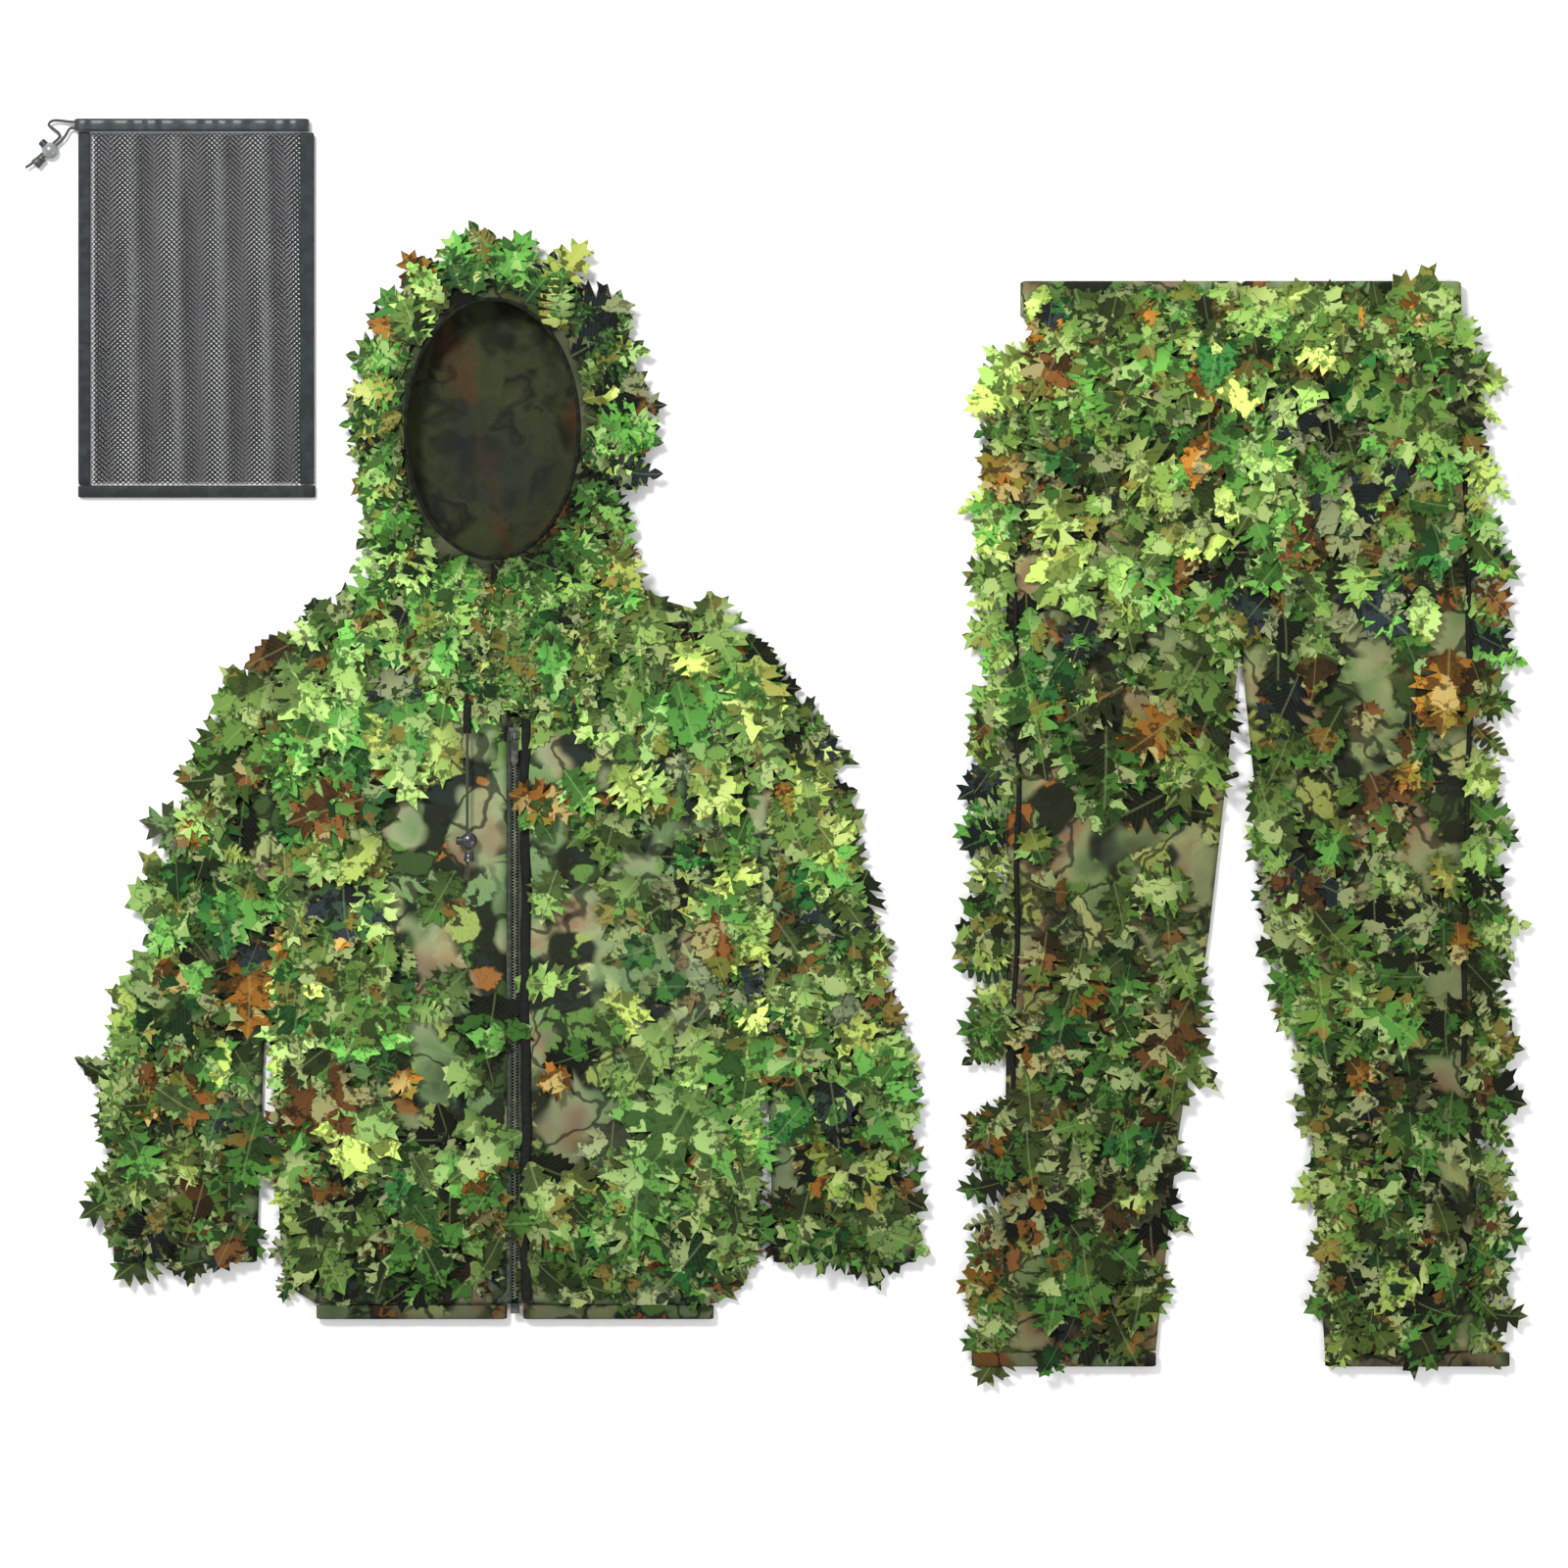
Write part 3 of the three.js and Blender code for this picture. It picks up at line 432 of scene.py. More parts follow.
@dataclass(frozen=True)
class Finish:
    """What a surface is made of. Values here are the same all over it."""

    name: str
    metallic: float = 0.0
    sheen: float = 0.0
    coat: float = 0.0
    coat_roughness: float = 0.2
    specular: float = 0.5
    bump: float = 0.4
    depth: float = 0.4 * MM

    def paint(self, graph: Graph) -> Paint:
        """Colour, roughness and height. Each finish has its own."""
        raise NotImplementedError

    def material(self) -> bpy.types.Material:
        """The material, made once."""
        found = bpy.data.materials.get(f"finish_{self.name}")
        if found:
            return found
        graph = Graph(f"finish_{self.name}")
        colour, roughness, height = self.paint(graph)
        inputs: dict[str | int, object] = {
            "Base Color": colour,
            "Roughness": roughness,
            "Metallic": self.metallic,
            "Sheen Weight": self.sheen,
            "Sheen Roughness": 0.5,
            "Coat Weight": self.coat,
            "Coat Roughness": self.coat_roughness,
            "Specular IOR Level": self.specular,
        }
        if height is not None:
            bump = {"Strength": self.bump, "Distance": self.depth, "Height": height}
            inputs["Normal"] = graph.node("ShaderNodeBump", {}, bump)
        return graph.surface(inputs)


@dataclass(frozen=True)
class ForestCloth(Finish):
    """Thin cloth with a print of leaves, twigs and shade."""

    light: float = 0.85
    warm: float = 0.0
    source: str = "print"
    specular: float = 0.12
    # Where set: the y below which the print is darkest, the y above which it is unchanged, and the share of its colour
    # kept at the darkest.
    darken_low: tuple[float, float, float] | None = None

    def _shade(self, red: float, green: float, blue: float) -> Colour:
        """A print colour at this cloth's lightness."""
        r, g, b, a = srgb(red, green, blue)
        warm = 1 + 0.25 * self.warm
        return (r * self.light * warm, g * self.light, b * self.light * (1 - 0.2 * self.warm), a)

    def paint(self, graph: Graph) -> Paint:
        """Jagged leaves, branches and dark gaps, with blurred sheer patches between them."""
        place = graph.place(self.source)
        bent = graph.warped(graph.warped(place, 24, 0.03), 130, 0.011)
        pick = graph.split(graph.cells(bent, 33, out="Color"), "X")
        leaves = graph.ramp(
            pick,
            [
                (0.0, self._shade(18, 26, 14)),
                (0.15, self._shade(92, 128, 60)),
                (0.32, self._shade(148, 166, 86)),
                (0.44, self._shade(50, 74, 34)),
                (0.56, self._shade(114, 144, 92)),
                (0.70, self._shade(146, 96, 44)),
                (0.78, self._shade(24, 32, 34)),
                (0.88, self._shade(170, 184, 120)),
            ],
            hard=True,
        )
        shade = graph.ramp(
            graph.noise(place, 11, 2.0, 0.5),
            [
                (0.30, self._shade(62, 76, 56)),
                (0.42, self._shade(112, 140, 92)),
                (0.52, self._shade(150, 160, 118)),
                (0.60, self._shade(146, 122, 92)),
                (0.72, self._shade(88, 96, 92)),
            ],
        )
        body = graph.cells(bent, 33, "DISTANCE_TO_EDGE").step(0.03, 0.075)
        sheer = graph.noise(place, 15, 1.5).step(0.47, 0.55)
        outlined = graph.mix(body * 0.85 + 0.15, self._shade(14, 20, 10), leaves)
        veins = ((graph.split(bent, "X") * 620 + graph.split(bent, "Y") * 360).sin()).abs()
        veined = graph.mix((1 - veins.step(0.0, 0.25)) * 0.4, outlined, self._shade(22, 30, 14))
        gaps = graph.noise(bent, 46, 2.0).step(0.56, 0.60)
        crisp = graph.mix(gaps * 0.9, veined, self._shade(8, 11, 6))
        colour = graph.mix(sheer * 0.88, crisp, shade)
        branch = 1 - (graph.noise(graph.warped(place, 40, 0.02), 9, 2.0) - 0.5).abs().step(0.006, 0.016)
        barred = graph.mix(branch * 0.8, colour, self._shade(14, 16, 12))
        # Where that is set, the print grows darker towards low y.
        if self.darken_low:
            low, high, least = self.darken_low
            level = graph.split(graph.place("object"), "Y").step(low, high)
            dark = graph.mix(1 - least, barred, (0.004, 0.006, 0.003, 1.0))
            barred = graph.mix(level, dark, barred)
        fibres = graph.noise(graph.scaled(place, (1.0, 0.25, 1.0)), 1400, 2.0)
        worn = graph.mix(fibres * 0.14, barred, self._shade(110, 122, 92))
        height = graph.weave(place, 1.6 * MM) * 0.5 + graph.noise(place, 240, 3.0)
        return worn, 0.82 + fibres * 0.12, height


@dataclass(frozen=True)
class VeilCloth(Finish):
    """Sheer dark cloth with a blurred forest print."""

    specular: float = 0.12

    def paint(self, graph: Graph) -> Paint:
        """Soft dark blots, a rusty trunk and slanting streaks."""
        place = graph.place("print")
        bent = graph.warped(place, 16, 0.05)
        blots = graph.ramp(
            graph.noise(bent, 19, 3.0, 0.6),
            [
                (0.28, srgb(12, 15, 9)),
                (0.42, srgb(30, 34, 20)),
                (0.52, srgb(46, 52, 30)),
                (0.60, srgb(20, 23, 14)),
                (0.74, srgb(58, 62, 38)),
            ],
        )
        cell = graph.cells(graph.warped(place, 30, 0.03), 26, "SMOOTH_F1")
        leafy = graph.mix(cell.step(0.5, 0.62) * 0.65, blots, srgb(50, 58, 32))
        trunk = graph.noise(graph.scaled(bent, (1.0, 0.3, 1.0)), 15, 2.0, 0.5).step(0.56, 0.66)
        rusty = graph.mix(trunk * 0.55, leafy, srgb(74, 44, 24))
        grey = graph.noise(graph.scaled(bent, (1.0, 0.8, 1.0)), 8, 1.0).step(0.55, 0.68)
        smoky = graph.mix(grey * 0.5, rusty, srgb(30, 34, 32))
        fibres = graph.noise(graph.scaled(place, (1.0, 0.2, 1.0)), 1300, 2.0)
        colour = graph.mix(fibres * 0.2, smoky, srgb(16, 19, 12))
        return colour, 0.7 + fibres * 0.15, graph.weave(place, 1.3 * MM) + fibres


@dataclass(frozen=True)
class LeafCloth(Finish):
    """Cut cloth leaves: each has its own tint, with veins and a mottled print."""

    specular: float = 0.12

    def paint(self, graph: Graph) -> Paint:
        """The leaf's tint, lighter on its veins, with painted shade that darkens it towards its stalk."""
        local = graph.place("leaf")
        place = graph.place("print")
        tint = graph.node("ShaderNodeVertexColor", {"layer_name": "tint"}, {}, "Color")
        across = (graph.split(local, "X") - 0.5).abs()
        along = graph.split(local, "Y")
        rib = 1 - across.step(0.004, 0.020)
        side = ((along * 46 - across * 40).sin()).abs()
        twigs = (1 - side.step(0.0, 0.3)) * (1 - across.step(0.2, 0.45))
        bent = graph.warped(place, 95, 0.014)
        pick = graph.split(graph.cells(bent, 44, out="Color"), "X")
        mottle = graph.noise(place, 74, 3.0, 0.6)
        # deep is a dark of the tint, for dark print patches and lines and for the painted shade at the stalk.
        deep = graph.mix(0.88, tint, srgb(8, 12, 6))
        pale = graph.mix(0.42, tint, srgb(196, 208, 140))
        green = graph.mix(0.5, tint, srgb(70, 122, 46))
        patched = graph.mix(pick.step(0.76, 0.78) * 0.85, tint, deep)
        patched = graph.mix((1 - pick.step(0.20, 0.22)) * 0.8, patched, pale)
        patched = graph.mix(pick.step(0.40, 0.42) * (1 - pick.step(0.56, 0.58)) * 0.9, patched, green)
        patched = graph.mix(pick.step(0.60, 0.62) * (1 - pick.step(0.66, 0.68)) * 0.6, patched, srgb(120, 78, 34))
        lit = graph.mix(mottle.step(0.54, 0.59) * 0.85, patched, deep)
        branch = 1 - (graph.noise(bent, 30, 2.0) - 0.5).abs().step(0.008, 0.02)
        lined = graph.mix(branch * 0.6, lit, deep)
        # Painted shade: darker towards the stalk, standing in for the shadow between overlapping leaves.
        stalk = graph.mix((1 - along.step(0.0, 0.5)) * 0.6, lined, deep)
        veined = graph.mix(rib * 0.22 + twigs * 0.07, stalk, pale)
        height = twigs * 0.6 + rib + mottle * 0.5
        return veined, 0.74 + mottle * 0.16, height


@dataclass(frozen=True)
class Plain(Finish):
    """Cloth, plastic or metal of one colour, with mottling, fine grain and a lighter worn tone; the worn tone also
    paints a highlight swirl where the finish has one.
    """

    base: Colour = (0.1, 0.1, 0.1, 1.0)
    worn: Colour = (0.2, 0.2, 0.2, 1.0)
    rough: float = 0.6
    grain: float = 300.0
    rib: float = 0.0
    rib_axis: str = "Y"
    # Scale of a painted highlight swirl, or 0 for none.
    highlight_swirl: float = 0.0
    source: str = "object"

    def paint(self, graph: Graph) -> Paint:
        """Mottled colour, with ribs where the finish has them, and a painted highlight swirl where it has one."""
        place = graph.place(self.source)
        mottle = graph.noise(place, self.grain * 0.2, 3.0)
        fine = graph.noise(place, self.grain, 3.0)
        colour = graph.mix(mottle.step(0.42, 0.7) * 0.55 + fine * 0.15, self.base, self.worn)
        height = fine
        if self.rib:
            ribs = (graph.split(place, self.rib_axis) * (math.pi / self.rib)).sin().abs()
            colour = graph.mix((1 - ribs.step(0.0, 0.5)) * 0.45, colour, self.base)
            height = ribs + fine * 0.3
        # Painted highlight: a swirl of reflected light on glossy plastic, mixed in the worn tone.
        if self.highlight_swirl:
            ring = graph.noise(graph.warped(place, 120, 0.01), self.highlight_swirl, 1.0).step(0.56, 0.62)
            colour = graph.mix(ring * 0.8, colour, self.worn)
        return colour, self.rough + (mottle - 0.5) * 0.2, height


@dataclass(frozen=True)
class Braid(Finish):
    """Braided cord: slanting strands on the cord's own map."""

    base: Colour = (0.02, 0.022, 0.016, 1.0)
    worn: Colour = (0.08, 0.085, 0.06, 1.0)

    def paint(self, graph: Graph) -> Paint:
        """Two families of strands that cross."""
        place = graph.place("print")
        round_, along = graph.split(place, "X"), graph.split(place, "Y")
        one = (round_ * 25.13 + along * 2600).sin()
        two = (round_ * 25.13 - along * 2600).sin()
        weave = (one * two) * 0.5 + 0.5
        fuzz = graph.noise(place, 900, 2.0)
        return graph.mix(weave * 0.6 + fuzz * 0.2, self.base, self.worn), 0.78, weave + fuzz * 0.3


CLOTH = ForestCloth("cloth", darken_low=(-0.44, -0.24, 0.55))
TROUSER_CLOTH = ForestCloth("trouser_cloth", light=0.72, warm=0.5, darken_low=(-0.42, 0.2, 0.6))
BACK_CLOTH = ForestCloth("back_cloth", light=0.55)
HOOD_CLOTH = ForestCloth("hood_cloth", light=0.2)
VEIL = VeilCloth("veil", bump=0.25)
LEAF = LeafCloth("leaf", bump=0.35, depth=0.5 * MM)
BINDING = Plain("binding", specular=0.15, base=srgb(12, 14, 9), worn=srgb(40, 44, 30), rough=0.85, rib=1.1 * MM,
                rib_axis="Y", grain=700, bump=0.5)
BAND = ForestCloth("band", light=0.3, bump=0.5, source="object")
WAIST = ForestCloth("waist", light=0.7, bump=0.5, source="object")
TAPE = Plain("zip_tape", base=srgb(40, 48, 38), worn=srgb(78, 88, 70), rough=0.85, rib=0.9 * MM,
             grain=900, bump=0.5)
COIL = Plain("zip_coil", base=srgb(56, 62, 50), worn=srgb(124, 130, 110), rough=0.42, grain=600)
ZIP_METAL = Plain("zip_metal", metallic=0.9, base=srgb(52, 56, 50), worn=srgb(118, 120, 112), rough=0.38,
                  grain=500, bump=0.2)
PIPING = Plain("piping", specular=0.2, base=srgb(8, 10, 7), worn=srgb(26, 30, 20), rough=0.75, grain=900, bump=0.5)
# The swirl on this black plastic is a painted highlight.
BLACK_PLASTIC = Plain("black_plastic", base=srgb(14, 16, 14), worn=srgb(66, 70, 68), rough=0.3, grain=260,
                      highlight_swirl=95, bump=0.12, coat=0.3)
GREY_PLASTIC = Plain("grey_plastic", base=srgb(92, 98, 96), worn=srgb(170, 176, 172), rough=0.32,
                     grain=260, bump=0.12, coat=0.3)
DARK_FITTING = Plain("dark_fitting", base=srgb(34, 40, 32), worn=srgb(80, 88, 74), rough=0.4, grain=300,
                     bump=0.15)
SPRING_STEEL = Plain("spring_steel", metallic=1.0, base=srgb(120, 120, 118), worn=srgb(200, 200, 196),
                     rough=0.3, grain=800, bump=0.1)
HOOD_CORD = Braid("hood_cord", base=srgb(26, 28, 18), worn=srgb(74, 76, 54), bump=0.7)
BAG_CORD = Braid("bag_cord", base=srgb(24, 27, 24), worn=srgb(84, 92, 84), bump=0.7)
NET = Plain("net", specular=0.2, base=srgb(16, 19, 20), worn=srgb(40, 44, 46), rough=0.62, grain=500, bump=0.3)
BAG_BAND = Plain("bag_band", specular=0.25, base=srgb(22, 30, 34), worn=srgb(58, 70, 76), rough=0.42, rib=1.3 * MM,
                 rib_axis="Y", grain=420, sheen=0.2, coat=0.15, bump=0.5)
BAG_EDGE = Plain("bag_edge", specular=0.2, base=srgb(20, 26, 28), worn=srgb(46, 54, 56), rough=0.5, rib=1.3 * MM,
                 rib_axis="X", grain=420, sheen=0.2, bump=0.5)


# ------------------------------------------------------------------------------ mesh helpers


def select_only(obj: bpy.types.Object) -> None:
    """Deselects everything, then selects obj and makes it active."""
    bpy.ops.object.select_all(action="DESELECT")
    obj.select_set(True)
    bpy.context.view_layer.objects.active = obj


def mesh_object(
    name: str, points: Array, faces: Array, maps: dict[str, Array] | None = None
) -> bpy.types.Object:
    """An object from arrays.

    Args:
        name: The piece's name.
        points: (n, 3) places.
        faces: (m, corners) indices, all with as many corners.
        maps: UV maps by name, (n, 2) each.

    Returns:
        The object, smooth shaded.
    """
    faces = np.asarray(faces, np.int32)
    count, corners = faces.shape
    mesh = bpy.data.meshes.new(name)
    mesh.vertices.add(len(points))
    mesh.vertices.foreach_set("co", np.asarray(points, np.float32).ravel())
    mesh.loops.add(count * corners)
    mesh.loops.foreach_set("vertex_index", faces.ravel())
    mesh.polygons.add(count)
    mesh.polygons.foreach_set("loop_start", np.arange(0, count * corners, corners, dtype=np.int32))
    for title, values in (maps or {}).items():
        layer = mesh.uv_layers.new(name=title)
        layer.uv.foreach_set("vector", np.asarray(values, np.float32)[faces.ravel()].ravel())
    mesh.update(calc_edges=True)
    mesh.polygons.foreach_set("use_smooth", np.ones(count, bool))
    obj = bpy.data.objects.new(name, mesh)
    bpy.context.scene.collection.objects.link(obj)
    return obj


def grid_faces(rows: int, columns: int, wrap: bool = False) -> Array:
    """Quads of a grid of points whose columns run along a row; wrap joins each row's ends."""
    start = np.arange(rows - 1)[:, None] * columns
    near = np.arange(columns if wrap else columns - 1)
    far = (near + 1) % columns
    a, b = start + near, start + far
    return np.stack([a, b, b + columns, a + columns], -1).reshape(-1, 4)


def capped(rows: int, sides: int) -> Array:
    """Triangles of a grid whose rows join up, closed by fans to two tips that follow its points."""
    faces = grid_faces(rows, sides, wrap=True)
    near, count = np.arange(sides), rows * sides
    far, last = (near + 1) % sides, count - sides
    start = np.stack([far, near, np.full(sides, count)], 1)
    end = np.stack([last + near, last + far, np.full(sides, count + 1)], 1)
    return np.vstack([faces[:, [0, 1, 2]], faces[:, [0, 2, 3]], start, end])


def thicken(obj: bpy.types.Object, thickness: float) -> None:
    """Gives a sheet its thickness, below its face."""
    select_only(obj)
    modifier = obj.modifiers.new("wall", "SOLIDIFY")
    modifier.thickness = thickness
    modifier.offset = -1
    bpy.ops.object.modifier_apply(modifier=modifier.name)


def dress(obj: bpy.types.Object, finish: Finish, slot: str, body: "str | Fold", *nodes: str) -> None:
    """Gives a piece its finish, its body or the fold that it crosses, and the nodes that it stands for."""
    obj.data.materials.clear()
    obj.data.materials.append(finish.material())
    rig.slot(obj, slot)
    if isinstance(body, Fold):
        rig.blend(obj, body.still, body.moving, *body.ends())
    else:
        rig.ride(obj, body)
    if nodes:
        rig.replaces(obj, *nodes)
    log.info("%s: %d faces", obj.name, len(obj.data.polygons))


def dress_node(node: str, finish: Finish) -> None:
    """Gives a CAD node that stays its finish."""
    materials = frame["nodes"][node].data.materials
    materials.clear()
    materials.append(finish.material())
    log.info("%s: kept", node)


def resampled(points: Sequence[Sequence[float]], count: int) -> Array:
    """A smooth line through points, evenly spaced.

    Args:
        points: The places to pass.
        count: How many places to return.

    Returns:
        (count, 3) places.
    """
    knots = np.asarray(points, float)
    padded = np.vstack([2 * knots[0] - knots[1], knots, 2 * knots[-1] - knots[-2]])
    fine = []
    for i in range(len(knots) - 1):
        p0, p1, p2, p3 = padded[i : i + 4]
        t = np.linspace(0, 1, 24, endpoint=False)[:, None]
        fine.append(
            0.5
            * (
                2 * p1
                + (p2 - p0) * t
                + (2 * p0 - 5 * p1 + 4 * p2 - p3) * t**2
                + (3 * p1 - p0 - 3 * p2 + p3) * t**3
            )
        )
    line = np.vstack([*fine, knots[-1:]])
    gone = np.r_[0, np.cumsum(np.linalg.norm(np.diff(line, axis=0), axis=1))]
    return np.stack([np.interp(np.linspace(0, gone[-1], count), gone, line[:, k]) for k in range(3)], 1)


def line_length(path: Array) -> float:
    """Length of a line of points."""
    return float(np.linalg.norm(np.diff(path, axis=0), axis=1).sum())


def tube(
    name: str, path: Array, radius: float, sides: int = 10, flat: float = 1.0, closed: bool = False
) -> bpy.types.Object:
    """A tube along a path, with domed ends.

    Args:
        name: The piece's name.
        path: (n, 3) places on its centreline.
        radius: Its radius.
        sides: Corners round it.
        flat: Its height as a share of its width.
        closed: Whether the path joins up.

    Returns:
        The object, with a map of turns round and metres along.
    """
    path = np.asarray(path, float)
    if closed:
        ahead = np.roll(path, -1, 0) - np.roll(path, 1, 0)
    else:
        ahead = np.gradient(path, axis=0)
    ahead /= np.linalg.norm(ahead, axis=1, keepdims=True)
    side = np.cross(ahead, [0.0, 0.0, 1.0])
    side /= np.linalg.norm(side, axis=1, keepdims=True)
    up = np.cross(side, ahead)
    turn = np.linspace(0, 2 * math.pi, sides, endpoint=False)
    ring = np.cos(turn)[None, :, None] * side[:, None] + flat * np.sin(turn)[None, :, None] * up[:, None]
    body = path[:, None] + radius * ring
    gone = np.r_[0, np.cumsum(np.linalg.norm(np.diff(path, axis=0), axis=1))]
    if not closed:
        caps = []
        for end, sign in ((0, -1), (-1, 1)):
            for share, out in ((0.8, 0.45), (0.4, 0.8)):
                caps.append(path[end] + sign * ahead[end] * radius * out * 0.6 + radius * share * ring[end])
        body = np.concatenate([caps[1][None], caps[0][None], body, caps[2][None], caps[3][None]])
        gone = np.r_[gone[0], gone[0], gone, gone[-1], gone[-1]]
    rows = len(body)
    points = body.reshape(-1, 3)
    uv = np.stack([np.tile(turn / (2 * math.pi), rows), np.repeat(gone, sides)], 1)
    if closed:
        near = np.arange(sides)
        far, last = (near + 1) % sides, (rows - 1) * sides
        faces = np.vstack([grid_faces(rows, sides, wrap=True), np.stack([last + near, last + far, far, near], 1)])
    else:
        tips = np.stack([path[0] - ahead[0] * radius * 0.62, path[-1] + ahead[-1] * radius * 0.62])
        points = np.vstack([points, tips])
        uv = np.vstack([uv, [[0.5, gone[0]], [0.5, gone[-1]]]])
        faces = capped(rows, sides)
    obj = mesh_object(name, points, faces, {"print": uv})
    outward(obj)
    return obj


def outward(obj: bpy.types.Object) -> None:
    """Turns a closed shape's faces outwards."""
    select_only(obj)
    bpy.ops.object.mode_set(mode="EDIT")
    bpy.ops.mesh.select_all(action="SELECT")
    bpy.ops.mesh.normals_make_consistent(inside=False)
    bpy.ops.object.mode_set(mode="OBJECT")


def turned(
    name: str, profile: Sequence[tuple[float, float]], at: Sequence[float], axis: Sequence[float], steps: int = 40
) -> bpy.types.Object:
    """A turned piece, spun from its profile.

    Args:
        name: The piece's name.
        profile: (along the axis, radius) pairs.
        at: Where the axis starts.
        axis: The axis's direction.
        steps: Steps round it.

    Returns:
        The object.
    """
    ahead = Vector(axis).normalized()
    side = ahead.orthogonal().normalized()
    start = Vector(at)
    mesh = bpy.data.meshes.new(name)
    points = [start + ahead * along + side * radius for along, radius in profile]
    mesh.from_pydata(points, [(i, i + 1) for i in range(len(points) - 1)], [])
    obj = bpy.data.objects.new(name, mesh)
    bpy.context.scene.collection.objects.link(obj)
    select_only(obj)
    bpy.ops.object.mode_set(mode="EDIT")
    bpy.ops.mesh.select_all(action="SELECT")
    bpy.ops.mesh.spin(steps=steps, angle=2 * math.pi, center=start, axis=ahead)
    bpy.ops.mesh.select_all(action="SELECT")
    bpy.ops.mesh.remove_doubles(threshold=0.00001)
    bpy.ops.mesh.normals_make_consistent(inside=False)
    bpy.ops.object.mode_set(mode="OBJECT")
    bpy.ops.object.shade_smooth_by_angle(angle=math.radians(40))
    return obj


# ------------------------------------------------------------------------------ outlines and cloth


class Outline:
    """The plan outline of CAD nodes, read from their meshes."""

    def __init__(self, *nodes: str) -> None:
        """Reads the edges of the nodes."""
        found = []
        for node in nodes:
            mesh = frame["nodes"][node].data
            points = np.empty(len(mesh.vertices) * 3, np.float32)
            mesh.vertices.foreach_get("co", points)
            ends = np.empty(len(mesh.edges) * 2, np.int32)
            mesh.edges.foreach_get("vertices", ends)
            found.append(points.reshape(-1, 3)[:, :2][ends.reshape(-1, 2)].astype(float))
        self.ends = np.concatenate(found)
        self.low = self.ends.min((0, 1))
        self.high = self.ends.max((0, 1))

    def across(self, y: float) -> tuple[float, float]:
        """Lowest and highest x of the outline at a y."""
        a, b = self.ends[:, 0, 1], self.ends[:, 1, 1]
        hit = (np.minimum(a, b) <= y) & (np.maximum(a, b) >= y) & (np.abs(a - b) > 1e-7)
        t = (y - a[hit]) / (b[hit] - a[hit])
        x = self.ends[hit, 0, 0] + t * (self.ends[hit, 1, 0] - self.ends[hit, 0, 0])
        return float(x.min()), float(x.max())

    def along(self, centre: Sequence[float], angle: float) -> tuple[float, float]:
        """Nearest and farthest crossing of a ray from a centre."""
        ahead = np.array([math.cos(angle), math.sin(angle)])
        side = np.array([-ahead[1], ahead[0]])
        a = (self.ends[:, 0] - centre) @ side
        b = (self.ends[:, 1] - centre) @ side
        hit = (np.minimum(a, b) <= 0) & (np.maximum(a, b) >= 0) & (np.abs(a - b) > 1e-9)
        t = (-a[hit] / (b[hit] - a[hit]))[:, None]
        place = self.ends[hit, 0] + t * (self.ends[hit, 1] - self.ends[hit, 0])
        reach = (place - centre) @ ahead
        reach = reach[reach > 0]
        return float(reach.min()), float(reach.max())


@dataclass(frozen=True)
class Fold:
    """A fold between two bodies.

    Attributes:
        still: The body that stays.
        moving: The body that turns.
        axis: 0 where the fold lies at an x, 1 where it lies at a y.
        at: Where it lies.
        side: The way from still to moving, 1 or -1.
    """

    still: str
    moving: str
    axis: int
    at: float
    side: int

    def ends(self) -> tuple[tuple[float, float, float], tuple[float, float, float]]:
        """Where the blend starts and ends."""
        start, end = [0.0, 0.0, FOLD_HEIGHT], [0.0, 0.0, FOLD_HEIGHT]
        start[self.axis] = self.at - self.side * FOLD_BAND
        end[self.axis] = self.at + self.side * FOLD_BAND
        return tuple(start), tuple(end)

    def body(self, points: Array) -> str | None:
        """The body that holds all the points, or None where they cross the fold."""
        beyond = (points[:, self.axis] - self.at) * self.side
        if beyond.max() < -FOLD_BAND:
            return self.still
        if beyond.min() > FOLD_BAND:
            return self.moving
        return None


def creases(x: Array, y: Array, seed: int, lean: float = 0.0) -> Array:
    """Soft folds in cloth, from -1 to 1, mostly along a direction that leans from Y."""
    rng = np.random.default_rng(seed)
    total = np.zeros_like(x)
    for wave, weight in ((0.15, 0.5), (0.09, 0.5), (0.055, 0.4), (0.034, 0.25), (0.021, 0.14)):
        angle = lean + rng.normal(0, 0.55)
        phase = rng.uniform(0, 6.28)
        sway = 0.9 * np.sin(y / (wave * 2.1) * 2 * math.pi + phase * 2) * 0.6
        run = x * math.cos(angle) + y * math.sin(angle)
        total += weight * np.sin(run / wave * 2 * math.pi + phase + sway)
    return total / 1.4


